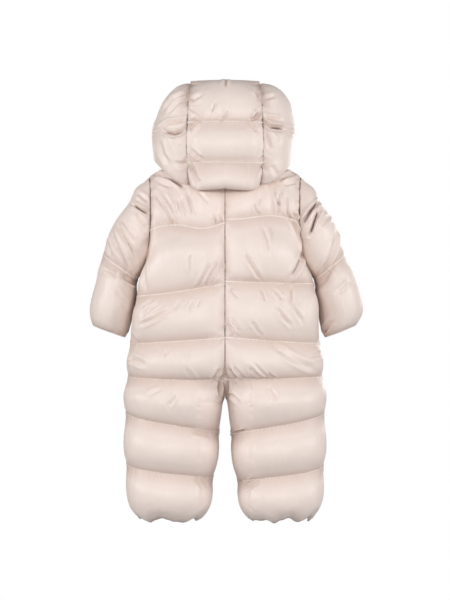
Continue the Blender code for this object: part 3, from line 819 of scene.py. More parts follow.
@dataclass(frozen=True)
class Filling:
    """How the down blows the outer cloth up.

    Args:
        pressure: the simulation's pressure.
        ease: how much more cloth there is than the draft's surface, as a share of its length.
        frames: how long it runs.
        most_out: the furthest a point may move outward, in metres.
        most_in: and inward.
        calming: how many times the ripples are evened out.
    """
    pressure: float = 4.0
    ease: float = 0.06
    frames: int = 20
    most_out: float = 10 * MM
    most_in: float = 7 * MM
    calming: int = 26

    def blow_up(self, panels: list) -> None:
        """Fill all the panels at once and give each its share of the cloth, none of it moved too far.

        Args:
            panels: the drafted panels, which are changed.
        """
        cloth = OuterCloth(panels)
        step = self.simulated(cloth) - cloth.points
        along = np.einsum("ij,ij->i", step, cloth.out)
        LOG.info("cloth: %d points, moved out %.1f to %.1f mm, typically %.1f mm", len(step),
                 along.min() / MM, along.max() / MM, np.median(np.abs(along)) / MM)
        limits = [self.room(panel.node, cloth.points[span], cloth.out[span])
                  for panel, span in zip(panels, cloth.spans)]
        most, least = (np.concatenate(limit) for limit in zip(*limits))
        soft = np.maximum(np.where(along > 0.0, most * np.tanh(along / most), along), -self.most_in)
        step += cloth.out * (soft - along)[:, None]
        aside = step - cloth.out * soft[:, None]
        reach = np.linalg.norm(aside, axis=1)
        step -= aside * (1.0 - np.minimum(1.0, self.most_in / np.maximum(reach, 1e-9)))[:, None]
        step = cloth.calmed(step, self.calming)
        along = np.einsum("ij,ij->i", step, cloth.out)
        step += cloth.out * (np.maximum(least * (1.0 - cloth.held) - along, 0.0))[:, None]
        step = cloth.calmed(step, LAST_CALMING)
        for panel, used, span in zip(panels, cloth.used, cloth.spans):
            points = positions(panel.data)
            points[used] += step[span] * panel.swell
            place(panel.data, points)
            room = np.zeros(len(points))
            room[used] = most[span] / self.most_out
            note(panel.data, "room", room)

    def simulated(self, cloth: OuterCloth) -> Array:
        """Run the simulation, held along the seams and quilting lines.

        Args:
            cloth: the outer cloth, whose mesh is used up.

        Returns:
            Where the simulation takes its points.
        """
        item = added("cloth", cloth.data)
        pins = item.vertex_groups.new(name="held")
        pins.add([int(corner) for corner in np.flatnonzero(cloth.held > WHOLLY)], 1.0, "REPLACE")
        filling = item.modifiers.new("filling", "CLOTH")
        settings = filling.settings
        for name, value in CLOTH.items():
            setattr(settings, name, value)
        settings.uniform_pressure_force = self.pressure
        settings.shrink_min = -self.ease
        settings.vertex_group_mass = pins.name
        settings.effector_weights.gravity = 0.0
        filling.collision_settings.use_collision = False
        filling.point_cache.frame_start = 1
        filling.point_cache.frame_end = self.frames
        for moment in range(1, self.frames + 1):
            bpy.context.scene.frame_set(moment)
        after = positions(item.evaluated_get(bpy.context.evaluated_depsgraph_get()).to_mesh())
        item.modifiers.remove(filling)
        bpy.data.objects.remove(item)
        bpy.data.meshes.remove(cloth.data)
        bpy.context.scene.frame_set(1)
        return after

    def room(self, node_name: str, points: Array, out: Array) -> tuple:
        """Find how far each point of a panel swells, so that it nearly meets what it faces.

        Args:
            node_name: the panel's frame node.
            points: its points.
            out: the outward direction at each.

        Returns:
            How far each swells at most, and at least, in metres.
        """
        tree = nodes_tree([name for name in CLOTH_NODES if name != node_name])
        most, least = np.full(len(points), self.most_out), np.full(len(points), -self.most_in)
        for number, (point, way) in enumerate(zip(points, out)):
            way = Vector(way)
            distance = tree.ray_cast(Vector(point) + way * ROOM_START, way, ROOM)[3]
            if distance is None:
                continue
            meeting = (distance + ROOM_START) * ROOM_SHARE
            most[number] = min(self.most_out, meeting)
            if point[2] > CROTCH and abs(point[0]) > UNDERARM:
                press = float(eased(np.array((CLOSE - distance) / CLOSE)))
                least[number] = most[number] * press - self.most_in * (1.0 - press)
        inner_leg = (np.abs(points[:, 0]) < INNER_LEG) & (points[:, 2] < CROTCH)
        return np.where(inner_leg, most * INNER_LEG_SHARE, most), least


@dataclass(frozen=True)
class Puckers:
    """The small gathers that run off every seam and quilting line, square to it or a little aslant.

    Args:
        height: a gather's height in metres.
        pitch: the usual distance between two, in metres.
        reach: how far they run from the line before they fade, in metres.
        slant: how far they lean, at most, as a share of their length.
        faded: how many reaches from the line nothing is left of them.
        slant_pitches: how many pitches along the line it takes the slant to change.
        patch_pitches: how many it takes their strength to change.
        weakest: their strength outside the stronger patches.
        patch_share: how much stronger they are in those patches.
        patch_level: how large the patches are, -1 to 1.
        fine_pitch: how many finer gathers there are to each.
        fine_share: how high those are, as a share.
        rise: the share of the reach over which they rise from the line.
    """
    height: float = 1.2 * MM
    pitch: float = 9 * MM
    reach: float = 11 * MM
    slant: float = 0.8
    faded: float = 3.2
    slant_pitches: float = 6.0
    patch_pitches: float = 4.0
    weakest: float = 0.5
    patch_share: float = 0.8
    patch_level: float = 0.3
    fine_pitch: float = 2.3
    fine_share: float = 0.45
    rise: float = 0.25

    def lift(self, distance: float, at: Vector, along: Vector) -> float:
        """Work out how far the cloth rises at a point.

        Args:
            distance: how far the nearest line is, in metres.
            at: the nearest spot on it.
            along: the way the line runs there.

        Returns:
            Metres outward.
        """
        if distance > self.faded * self.reach:
            return 0.0
        lean = noise.noise(at / (self.slant_pitches * self.pitch)) * self.slant
        patch = noise.noise(at / (self.patch_pitches * self.pitch) + PATCH_OFFSET)
        strength = self.weakest + self.patch_share * max(0.0, patch + self.patch_level)
        spot = (at + along * (lean * distance)) / self.pitch
        wave = noise.noise(spot) + self.fine_share * noise.noise(spot * self.fine_pitch + FINE_OFFSET)
        rise = min(1.0, distance / (self.rise * self.reach))
        return self.height * strength * wave * rise * math.exp(-distance / self.reach)


@dataclass(frozen=True)
class Valley:
    """How the filling on both sides lifts a seam or quilting line, so that its valley is shallow.

    Args:
        height: how far it is lifted, in metres.
        reach: how far from the line the lift fades, in metres.
        dome: how much rounder a channel is, where it has room, in metres.
        dome_reach: how far from the line two thirds of that are reached.
        notch: half the width of the sharp groove that a seam between two panels keeps, in metres.
        sunk: the share of the lift that such a seam lacks.
        lip: how far the pinched cloth along a quilting line stands up out of its valley, in metres.
        lip_reach: half the width of that lip, in metres.
    """
    height: float = 1.0 * MM
    reach: float = 5.0 * MM
    dome: float = 5.0 * MM
    dome_reach: float = 14.0 * MM
    notch: float = 1.8 * MM
    sunk: float = 1.0
    lip: float = 0.9 * MM
    lip_reach: float = 1.3 * MM

    def lift(self, share: float, room: Array, apart: Array, joined: Array, free: Array) -> Array:
        """Work out how far each point is lifted.

        Args:
            share: how much of its height the panel takes.
            room: how much of the dome there is room for, 0 to 1.
            apart: each point's distance from the nearest line, in metres.
            joined: 1 where that line is a seam between two panels.
            free: 1 where that line is an open edge, which keeps its place.

        Returns:
            Metres outward.
        """
        fade = np.exp(-(apart / self.reach) ** 2)
        groove = self.sunk * joined * np.exp(-(apart / self.notch) ** 2)
        lip = self.lip * (1.0 - joined) * np.exp(-(apart / self.lip_reach) ** 2)
        dome = self.dome * (1.0 - np.exp(-apart / self.dome_reach)) * room
        return dome + (self.height * (share * fade - groove) + lip) * (1.0 - free)


@dataclass(frozen=True)
class SeamMap:
    """The nearest seam or quilting line to every point of a panel, with the way it runs.

    Args:
        tree: finds the nearest spot.
        spots: places on the lines; not used.
        ways: the way the line runs at each spot.
        runs: how far along the line each is, in metres.
        kinds: what kind of line each is on.
    """
    tree: KDTree
    spots: list
    ways: list
    runs: list
    kinds: list

    @classmethod
    def of(cls, data: Mesh, outer: Array, points: Array, others: BVHTree) -> "SeamMap":
        """Find the lines of a finished panel and note a spot on them every millimetre or so.

        Args:
            data: the panel's mesh.
            outer: whether each face is of the outer cloth.
            points: its points.
            others: the surface of the other panels.

        Returns:
            The map.
        """
        sewn = column(data, "line") > WHOLLY
        rim = column(data, "rim") > WHOLLY
        links = defaultdict(set)
        for face, is_outer in zip(data.polygons, outer):
            if is_outer:
                corners = list(face.vertices)
                for first, second in zip(corners, corners[1:] + corners[:1]):
                    if sewn[first] and sewn[second]:
                        links[first].add(second)
                        links[second].add(first)
        spots, ways, runs, kinds = [], [], [], []
        run = {}
        for start in sorted(links):
            if start in run:
                continue
            run[start] = 0.0
            stack = [start]
            while stack:
                corner = stack.pop()
                here = Vector(points[corner])
                for other in sorted(links[corner]):
                    if other in run:
                        continue
                    there = Vector(points[other])
                    span = (there - here).length
                    run[other] = run[corner] + span
                    stack.append(other)
        for first in sorted(links):
            for second in sorted(links[first]):
                if second < first:
                    continue
                here, there = Vector(points[first]), Vector(points[second])
                way = (there - here).normalized()
                if way.x + way.z < 0.0:
                    way = -way
                kind = LineKind.QUILTED
                if rim[first] and rim[second]:
                    near = others.find_nearest(here.lerp(there, 0.5), SEAM_GAP)[0]
                    kind = LineKind.OPEN if near is None else LineKind.SEAM
                for share in LINE_STEPS:
                    spots.append(here.lerp(there, share))
                    ways.append(way)
                    runs.append(run[first] + (run[second] - run[first]) * share)
                    kinds.append(kind)
        tree = KDTree(len(spots))
        for number, spot in enumerate(spots):
            tree.insert(spot, number)
        tree.balance()
        return cls(tree, spots, ways, runs, kinds)


@dataclass(frozen=True)
class Hem:
    """The gathered elastic at the end of a leg.

    Args:
        side: 1 for the left leg and -1 for the right.
    """
    side: int

    def move(self, points: Array) -> Array:
        """Draw the cloth near the hem into soft scallops.

        Args:
            points: one row each, in metres.

        Returns:
            Each point's step, in metres.
        """
        middle = Vector((self.side * HEM_MIDDLE, 0.0, 0.0))
        step = np.zeros_like(points)
        for number, point in enumerate(points):
            if point[0] * self.side < 0.0 or point[2] > HEM_TOP:
                continue
            away = Vector((point[0], point[1], 0.0)) - middle
            round_at = away.normalized() * HEM_LOBES + Vector((0.0, 0.0, HEM_APART * self.side))
            wave = noise.noise(round_at) + HEM_RIPPLE * noise.noise(round_at * 2.0)
            strength = float(eased(np.array((HEM_TOP - point[2]) / HEM_DEPTH)))
            outward = away.normalized() * (wave * HEM_GATHER * strength)
            step[number] = (outward.x, outward.y, wave * HEM_SCALLOP * strength)
        return step


def fold_lift(points: Array, out: Array, fold: Fold) -> Array:
    """Work out how far a fold raises or lowers each of a panel's points.

    Args:
        points: its points.
        out: the outward direction at each.
        fold: the fold.

    Returns:
        Metres outward.
    """
    nearest, share = fold_distance(points, fold)
    trough = -np.exp(-(nearest / fold.width) ** FOLD_SQUARENESS)
    ridge = RIDGE_SHARE * np.exp(-((nearest - RIDGE_APART * fold.width) / (RIDGE_WIDTH * fold.width)) ** 2)
    ends = eased(np.minimum(share, 1.0 - share) / FOLD_FADE) * (1.0 - FOLD_END) + FOLD_END
    seen = eased(out @ np.array(fold.facing.value) / FOLD_TURN)
    return (FOLD_SHARE * fold.depth + FOLD_LEAST) * MM * (trough + ridge) * ends * seen


# ---------------------------------------------------------------- finishes
def linear(code: str) -> tuple:
    """Turn an sRGB hex colour into the linear colour that shaders take.

    Args:
        code: a # and six digits.

    Returns:
        Red, green, blue and 1.
    """
    shares = [int(code[start:start + 2], 16) / 255 for start in (1, 3, 5)]
    return tuple(share / 12.92 if share <= 0.04045 else ((share + 0.055) / 1.055) ** 2.4
                 for share in shares) + (1.0,)


class Shader:
    """A material's nodes, added one at a time."""

    def __init__(self, name: str) -> None:
        """Start a material with the usual surface.

        Args:
            name: the material's name.
        """
        self.material = bpy.data.materials.new(name)
        self.material.use_nodes = True
        self.tree = self.material.node_tree
        self.surface = self.tree.nodes["Principled BSDF"]

    def add(self, kind: str, settings: dict = None, **inputs: Setting) -> bpy.types.Node:
        """Add a node.

        Args:
            kind: the node's type, without "ShaderNode".
            settings: properties of the node.
            **inputs: a value or an output for each socket, named with _ for a space, or n0, n1 by number.

        Returns:
            The node.
        """
        node = self.tree.nodes.new("ShaderNode" + kind)
        for key, value in (settings or {}).items():
            setattr(node, key, value)
        for key, value in inputs.items():
            socket = node.inputs[int(key[1:])] if key[1:].isdigit() else node.inputs[key.replace("_", " ")]
            self.put(socket, value)
        return node

    def put(self, socket: Socket, value: Setting) -> None:
        """Link an output into a socket, or set its value.

        Args:
            socket: the socket.
            value: the output or the value.
        """
        if isinstance(value, Socket):
            self.tree.links.new(value, socket)
        else:
            socket.default_value = value

    def attribute(self, name: str, output: str = "Fac") -> Socket:
        """Read what a mesh keeps for each point."""
        return self.add("Attribute", {"attribute_name": name}).outputs[output]

    def noise(self, place_at: Socket, scale: float, detail: float, roughness: float = 0.5,
              distortion: float = 0.0) -> Socket:
        """Add a cloudy pattern."""
        return self.add("TexNoise", Vector=place_at, Scale=scale, Detail=detail, Roughness=roughness,
                        Distortion=distortion).outputs["Fac"]

    def math(self, operation: str, *values: Setting) -> Socket:
        """Add a Math node.

        Args:
            operation: its operation.
            *values: its values, in order.

        Returns:
            Its output.
        """
        node = self.add("Math", {"operation": operation})
        for socket, value in zip(node.inputs, values):
            self.put(socket, value)
        return node.outputs[0]

    def ramp(self, share: Socket, low: float, high: float, first: float = 0.0, last: float = 1.0) -> Socket:
        """Turn a value's range into another one, softly.

        Args:
            share: the value.
            low: where its range starts.
            high: where it ends.
            first: what the start becomes.
            last: what the end becomes.

        Returns:
            The turned value.
        """
        node = self.add("MapRange", {"interpolation_type": "SMOOTHSTEP"}, Value=share,
                        From_Min=low, From_Max=high, To_Min=first, To_Max=last)
        return node.outputs["Result"]

    def blend(self, share: Socket, first: Setting, second: Setting) -> Socket:
        """Mix two colours.

        Args:
            share: how much there is of the second one.
            first: a colour.
            second: another colour.

        Returns:
            The mixed colour.
        """
        node = self.add("Mix", {"data_type": "RGBA"}, n0=share)
        self.put(node.inputs[6], first)
        self.put(node.inputs[7], second)
        return node.outputs[2]

    def cover(self, color: Setting, roughness: Setting, height: Socket, strength: float, distance: float,
              **constants: float) -> Material:
        """Finish the surface.

        Args:
            color: its colour.
            roughness: how matt it is.
            height: its fine relief.
            strength: how much of that relief shows.
            distance: how high the relief is, in metres.
            **constants: other settings of the surface, named with _ for a space.

        Returns:
            The finished material.
        """
        self.put(self.surface.inputs["Base Color"], color)
        self.put(self.surface.inputs["Roughness"], roughness)
        bump = self.add("Bump", Height=height, Strength=strength, Distance=distance)
        self.put(self.surface.inputs["Normal"], bump.outputs["Normal"])
        for key, value in constants.items():
            self.surface.inputs[key.replace("_", " ")].default_value = value
        return self.material


@dataclass(frozen=True)
class SatinNylon:
    """Thin satin-faced nylon, down-proof: smooth to the eye, with a soft broad shine on every puff."""
    light: str = "#EFE0D8"
    # a darker tone of the cloth, used for its cloudy unevenness and for the painted shade near the quilting lines
    shade: str = "#DCC7BC"
    # the thread's colour, also used for the painted highlight along the quilting lines
    thread_and_highlight: str = "#F6EAE2"
    # the colour of the painted shade in seam grooves and at the bottom of deep creases
    groove: str = "#6A5145"

    def creases(self, shader: Shader, place_at: Socket, scale: tuple, turn: tuple) -> Socket:
        """Draw thin sharp creases: the ridges of a stretched and bent noise.

        Args:
            shader: the material's nodes.
            place_at: the place on the cloth.
            scale: creases to a metre, each way.
            turn: how they are turned, in radians.

        Returns:
            How much of a crease there is, 0 to 1.
        """
        stretched = shader.add("Mapping", Vector=place_at, Scale=scale, Rotation=turn).outputs[0]
        from_middle = shader.math("SUBTRACT", shader.noise(stretched, 1.0, 2.0, 0.45, 0.7), 0.5)
        from_middle = shader.math("ABSOLUTE", from_middle)
        return shader.ramp(from_middle, 0.0, 0.09, 1.0, 0.0)

    def material(self) -> Material:
        """Make the cloth of every panel.

        Returns:
            The material.
        """
        shader = Shader("satin nylon")
        place_at = shader.add("TexCoord").outputs["Object"]
        apart = shader.attribute("seam_mm")
        run = shader.attribute("run_mm")
        at = shader.attribute("seam_at", "Vector")
        # down shows faintly through the thin cloth as cloudy patches some 30 mm across
        clouds = shader.noise(place_at, 34.0, 3.0, 0.55)
        # painted shade: the cloth is coloured darker towards each quilting line, less so at a seam, for the shade on
        # the sides of each puff; the cloudy tone above is the cloth's own
        joined = shader.attribute("joined")
        near = shader.math("MULTIPLY", shader.ramp(apart, 1.0, 22.0, 0.85, 0.0),
                           shader.ramp(joined, 0.0, 1.0, 1.0, 0.25))
        shade = shader.math("ADD", shader.math("MULTIPLY", clouds, 0.25), near)
        color = shader.blend(shade, linear(self.light), linear(self.shade))
        # painted shade: a seam between two panels is coloured dark, as the shade in its narrow groove, more in some
        # stretches than in others
        patches = shader.noise(at, 0.07, 2.0, 0.6)
        seam_shade_unevenness = shader.ramp(patches, 0.36, 0.6, 0.3, 1.0)
        groove = shader.math("MULTIPLY", shader.ramp(apart, 0.9, 2.6, 1.0, 0.0), shader.ramp(joined, 0.3, 0.7))
        groove = shader.math("MULTIPLY", groove, seam_shade_unevenness)
        color = shader.blend(groove, color, linear(self.groove))
        # painted shade: the bottom of a deep crease is coloured dark the same way
        pressed = shader.attribute("pressed_mm")
        color = shader.blend(shader.ramp(pressed, 2.8, 7.0, 0.0, 0.75), color, linear(self.groove))
        # painted highlight: the pinched cloth along a quilting line is coloured lighter, with the thread colour, for
        # the light it catches
        lip = shader.math("MULTIPLY", shader.ramp(apart, 0.9, 1.9, 0.85, 0.0), shader.ramp(joined, 0.3, 0.7, 1.0, 0.0))
        color = shader.blend(lip, color, linear(self.thread_and_highlight))
        # lockstitch, 3 mm long with short gaps, in a shiny thread
        on_line = shader.ramp(apart, 0.35, 0.8, 1.0, 0.0)
        dash = shader.ramp(shader.math("PINGPONG", run, 1.5), 0.15, 0.4)
        stitch = shader.math("MULTIPLY", on_line, shader.math("SUBTRACT", dash, joined))
        stitch = shader.math("MAXIMUM", stitch, 0.0)
        color = shader.blend(stitch, color, linear(self.thread_and_highlight))
        # fine gathers run off the seams, too small to model: 3 to 5 mm apart, gone within 15 mm
        gathers = shader.noise(at, 0.30, 2.0)
        fade = shader.ramp(apart, 1.0, 15.0, 0.8, 0.0)
        # two families of thin creases, one upright and one leaning, where the cloth has been pressed
        upright = self.creases(shader, place_at, (46.0, 30.0, 14.0), (0.0, 0.25, 0.0))
        leaning = self.creases(shader, place_at, (38.0, 24.0, 12.0), (0.0, -0.9, 0.0))
        # loose unevenness everywhere, long and faint
        uneven = shader.noise(place_at, 48.0, 3.0, 0.55, 0.6)
        # the weave itself, 0.25 mm threads seen only as a slight grain
        weave = shader.noise(place_at, 2600.0, 1.0)
        height = shader.math("MULTIPLY", gathers, fade)
        for relief, share in ((uneven, 0.30), (upright, 0.07), (leaning, 0.12), (weave, 0.010), (stitch, 0.25)):
            height = shader.math("MULTIPLY_ADD", relief, share, height)
        roughness = shader.math("MULTIPLY_ADD", clouds, 0.10, 0.38)
        return shader.cover(color, roughness, height, 0.9, 2.0 * MM, Sheen_Weight=0.05, Sheen_Roughness=0.4,
                            Specular_IOR_Level=0.5)


@dataclass(frozen=True)
class ZipTape:
    """Woven polyester tape: matt, with a fine herringbone rib along it."""
    light: str = "#E2CFC4"
    shade: str = "#CDB6A9"

    def material(self) -> Material:
        """Make the cloth of both tapes.

        Returns:
            The material.
        """
        shader = Shader("zip tape")
        place_at = shader.add("TexCoord").outputs["Object"]
        # twill ribs 0.8 mm apart, leaning
        turned = shader.add("Mapping", Vector=place_at, Rotation=(0.0, math.radians(35), 0.0)).outputs[0]
        ribs = shader.add("TexWave", {"bands_direction": "Z"}, Vector=turned, Scale=390.0,
                          Distortion=0.6).outputs["Fac"]
        color = shader.blend(ribs, linear(self.shade), linear(self.light))
        return shader.cover(color, 0.8, ribs, 0.5, 0.3 * MM, Sheen_Weight=0.2)


@dataclass(frozen=True)
class MouldedPlastic:
    """Moulded acetal teeth, dyed to match: half matt, a little uneven from one to the next."""
    light: str = "#E6D4C9"
    shade: str = "#D8C3B7"

    def material(self) -> Material:
        """Make the plastic of the teeth and of the chain under them.

        Returns:
            The material.
        """
        shader = Shader("moulded teeth")
        place_at = shader.add("TexCoord").outputs["Object"]
        patches = shader.noise(place_at, 180.0, 2.0)
        color = shader.blend(patches, linear(self.shade), linear(self.light))
        return shader.cover(color, 0.42, patches, 0.2, 0.2 * MM)


@dataclass(frozen=True)
class Nickel:
    """Satin nickel plate: soft grey metal with fine brushing that spreads its highlights."""
    light: str = "#CFCBC6"
    shade: str = "#AAA59F"

    def material(self) -> Material:
        """Make the metal of the slider and its pull.

        Returns:
            The material.
        """
        shader = Shader("satin nickel")
        place_at = shader.add("TexCoord").outputs["Object"]
        stretched = shader.add("Mapping", Vector=place_at, Scale=(1.0, 1.0, 0.06)).outputs[0]
        brushing = shader.noise(stretched, 4200.0, 2.0)
        color = shader.blend(brushing, linear(self.shade), linear(self.light))
        roughness = shader.math("MULTIPLY_ADD", brushing, 0.15, 0.24)
        return shader.cover(color, roughness, brushing, 0.15, 0.1 * MM, Metallic=1.0)


# ---------------------------------------------------------------- zip
@dataclass(frozen=True)
class FrontZip:
    """The zip down the front: moulded teeth on its chain and up its open tapes, slider and pull.

    Args:
        pitch: from one tooth to the next, in metres.
        tooth_width: in metres.
        tooth_height: in metres.
        tooth_proud: how far a tooth stands out, in metres.
        tooth_sunk: how far it is sunk in, in metres.
        bevel: how far edges are rounded, in metres.
        on_tape: of a tooth's width, from the tape's edge to the tooth's middle.
        flat: faces turned less than this are one.
        sharp: edges sharper than this are rounded.
    """
    pitch: float = 2.6 * MM
    tooth_width: float = 3.1 * MM
    tooth_height: float = 1.5 * MM
    tooth_proud: float = 0.5 * MM
    tooth_sunk: float = 0.6 * MM
    bevel: float = 0.25 * MM
    on_tape: float = 0.35
    flat: float = math.radians(2)
    sharp: float = math.radians(20)

    def tooth(self, mesh: Edited, tree: BVHTree, across: float, height: float) -> None:
        """Set one tooth into a surface seen from the front.

        Args:
            mesh: the teeth so far.
            tree: the surface.
            across: the tooth's place across the suit, in metres.
            height: and its height.
        """
        spot, normal, _, _ = tree.ray_cast(Vector((across, -1.0, height)), Vector((0.0, 1.0, 0.0)))
        if spot is None:
            return
        outward = Vector((0.0, normal.y, normal.z)).normalized()
        up = Vector((1.0, 0.0, 0.0)).cross(outward)
        if up.z < 0.0:
            up = -up
        side = up.cross(outward)
        turn = Matrix((side, outward, up)).transposed().to_4x4()
        depth = self.tooth_proud + self.tooth_sunk
        turn.translation = spot + outward * (self.tooth_proud - depth / 2)
        sizes = Matrix.Diagonal((self.tooth_width, depth, self.tooth_height, 1.0))
        bmesh.ops.create_cube(mesh, size=1.0, matrix=turn @ sizes)

    def teeth(self, finish: Material) -> Object:
        """Make all the teeth as one piece.

        Args:
            finish: their material.

        Returns:
            The piece.
        """
        mesh = bmesh.new()
        low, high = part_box("zip_chain")
        chain = nodes_tree(["zip_chain"])
        count = int((high.z - low.z - CHAIN_END) / self.pitch)
        for number in range(count):
            side = 1 if number % 2 else -1
            self.tooth(mesh, chain, side * TOOTH_ASIDE, high.z - (number + 0.5) * self.pitch)
        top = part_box("zip_tape_left")[1].z
        slider_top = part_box("zip_slider")[1].z
        for name, side in (("zip_tape_left", 1), ("zip_tape_right", -1)):
            tape = nodes_tree([name])
            inner = min(abs(corner.x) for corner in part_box(name))
            height = slider_top + self.pitch
            while height < top - self.pitch:
                self.tooth(mesh, tape, side * (inner + self.tooth_width * self.on_tape), height)
                height += 2 * self.pitch
        self.rounded(mesh, mesh.edges[:], 1)
        bmesh.ops.recalc_face_normals(mesh, faces=mesh.faces[:])
        return piece("zip_teeth", kept(mesh, "zip_teeth"), finish, BODY)

    def rounded(self, mesh: Edited, edges: list, steps: int) -> None:
        """Round some edges of a mesh off."""
        bmesh.ops.bevel(mesh, geom=edges, offset=self.bevel, offset_type="OFFSET", segments=steps,
                        profile=0.5, affect="EDGES", material=-1, clamp_overlap=True)

    def metal(self, node_name: str, body: str, finish: Material) -> Object:
        """Round the edges of a frame node's metal piece.

        Args:
            node_name: the node.
            body: the body it rides on.
            finish: its material.

        Returns:
            The rounded piece.
        """
        mesh = node_mesh(node_name)
        bmesh.ops.dissolve_limit(mesh, angle_limit=self.flat, verts=mesh.verts[:], edges=mesh.edges[:])
        self.rounded(mesh, [edge for edge in mesh.edges if edge.calc_face_angle(0.0) > self.sharp], 2)
        name = node_name + "_rounded"
        return piece(name, kept(mesh, name), finish, body, node_name)

    def build(self) -> list:
        """Finish the zip.

        Returns:
            Its pieces.
        """
        plastic, nickel, tape = MouldedPlastic().material(), Nickel().material(), ZipTape().material()
        dressed = []
        for name, finish in (("zip_tape_left", tape), ("zip_tape_right", tape), ("zip_chain", plastic)):
            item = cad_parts[name]
            item.data.materials.clear()
            item.data.materials.append(finish)
            dressed.append(item)
        return dressed + [self.teeth(plastic), self.metal("zip_slider", BODY, nickel),
                          self.metal("zip_pull", "pull_tab", nickel)]


# ---------------------------------------------------------------- studio
@dataclass(frozen=True)
class Softbox:
    """A studio light, wider than it is high.

    Args:
        place: where it stands, in metres.
        width: in metres.
        height: in metres.
        power: its power in watts.
        target: what it is turned to.
    """
    place: tuple
    width: float
    height: float
    power: float
    target: tuple = (0.0, 0.0, -0.2)

    def build(self, name: str) -> None:
        """Stand the light in the studio.

        Args:
            name: the light's name.
        """
        data = bpy.data.lights.new(name, "AREA")
        data.shape = "RECTANGLE"
        data.size, data.size_y, data.energy = self.width, self.height, self.power
        item = added(name, data)
        item.location = self.place
        item.rotation_euler = (Vector(self.target) - Vector(self.place)).to_track_quat("-Z", "Y").to_euler()


LIGHTS = {
    "left": Softbox((3.0, 1.3, 0.5), 1.6, 0.6, 40.0),
    "right": Softbox((-3.0, 1.3, 0.5), 1.6, 0.6, 40.0),
    "key": Softbox((0.1, 3.6, 0.45), 4.5, 0.5, 64.0),
    "front": Softbox((-0.6, -2.6, 0.2), 3.2, 0.8, 34.0),
}


@dataclass(frozen=True)
class Studio:
    """A white studio: a pale floor, soft light from above and a long lens level with the suit.

    Args:
        floor_height: in metres.
        view_height: the camera's height in metres.
        distance: from the camera to the suit, in metres.
        lens: in millimetres.
        sky: how strong the even light from all round is.
        floor_share: how much light the floor gives back.
        floor_half: half the floor's width, in metres.
    """
    floor_height: float = -0.75
    view_height: float = -0.207
    distance: float = 3.42
    lens: float = 120.0
    sky: float = 0.31
    floor_share: float = 0.45
    floor_half: float = 6.0

    def surroundings(self) -> None:
        """An even white all round, plain white to the camera."""
        world = bpy.data.worlds.new("studio")
        bpy.context.scene.world = world
        world.use_nodes = True
        tree = world.node_tree
        soft = tree.nodes["Background"]
        soft.inputs["Strength"].default_value = self.sky
        soft.inputs["Color"].default_value = (1.0, 1.0, 1.0, 1.0)
        white = tree.nodes.new("ShaderNodeBackground")
        white.inputs["Color"].default_value = (1.0, 1.0, 1.0, 1.0)
        white.inputs["Strength"].default_value = 1.0
        self.switch(tree, soft.outputs[0], white.outputs[0], tree.nodes["World Output"].inputs["Surface"])

    @staticmethod
    def switch(tree: bpy.types.NodeTree, lit: Socket, seen: Socket, surface: Socket) -> None:
        """Show one shader to the camera and use another for the light.

        Args:
            tree: the nodes.
            lit: the shader for the light.
            seen: the shader that the camera sees.
            surface: the socket that takes both.
        """
        rays = tree.nodes.new("ShaderNodeLightPath")
        mix = tree.nodes.new("ShaderNodeMixShader")
        tree.links.new(rays.outputs["Is Camera Ray"], mix.inputs["Fac"])
        tree.links.new(lit, mix.inputs[1])
        tree.links.new(seen, mix.inputs[2])
        tree.links.new(mix.outputs[0], surface)

    def floor(self) -> None:
        """A plain pale floor well below the suit, which hangs."""
        mesh = bmesh.new()
        bmesh.ops.create_grid(mesh, x_segments=1, y_segments=1, size=self.floor_half)
        data = kept(mesh, "floor")
        item = added("floor", data)
        item.location.z = self.floor_height
        shader = Shader("studio floor")
        shader.put(shader.surface.inputs["Base Color"], (self.floor_share,) * 3 + (1.0,))
        glow = shader.add("Emission", Color=(1.0, 1.0, 1.0, 1.0), Strength=1.0)
        output = shader.tree.nodes["Material Output"].inputs["Surface"]
        self.switch(shader.tree, shader.surface.outputs[0], glow.outputs[0], output)
        data.materials.append(shader.material)

    def camera(self) -> None:
        """A long lens looking at the back."""
        data = bpy.data.cameras.new("camera")
        data.lens = self.lens
        item = added("camera", data)
        item.location = (0.0, self.distance, self.view_height)
        item.rotation_euler = (math.radians(90), 0.0, math.radians(180))
        bpy.context.scene.camera = item

    def build(self) -> None:
        """Set up the studio."""
        bpy.context.scene.view_settings.view_transform = "Standard"
        self.surroundings()
        self.floor()
        self.camera()
        for name, light in LIGHTS.items():
            light.build(name)


# ---------------------------------------------------------------- the suit
SLIDES = (
    Slide(HOOD, 36, 30, -10, -10),
    Slide(HOOD, 190, 110, 9, 9),
    Slide(HOOD, 55, 55, aside=(-3, -8), aside_from=75),
    Slide(HOOD, 140, 45, aside=(-4, 2), aside_from=55),
    Slide(LEGS, -78, 50, -18, 0, left_only=True),
    Slide(LEGS, -350, 40, 7, 6),
    Slide(LEGS, -392, 34, gap=4),
    Slide(LEGS, -418, 48, -5, 8),
    Slide(LEGS, -503, 42, 0, 6),
    Slide(SLEEVES, -290, 120, -5, -5),
    Slide(SLEEVES, -125, 60, aside=(8, 4), aside_from=150),
    Slide(SLEEVES, -190, 75, aside=(0, 4), aside_from=110),
    Slide(SLEEVES, -280, 55, aside=(8, 0), aside_from=185),
    Slide(LEGS, -185, 72, aside=(5, 10), aside_from=90),
)
HOOD_DROOP = (
    Slide(("hood_centre",), -4, 34, -4, -40),
    Slide(("hood_side",), -4, 34, -32, 14),
    Slide(("hood_centre",), 178, 45, 1, -18),
)
HOOD_LOOKS = {"lifted": HOOD_LIFTED, "droop": HOOD_DROOP}


def folds(rows: tuple, facing: Facing = Facing.BACK) -> tuple:
    """Read a table of folds that look one way; its columns are depth, width, and each point's across and up."""
    return tuple(Fold(tuple(zip(points[::2], points[1::2])), depth, width, facing)
                 for depth, width, *points in rows)


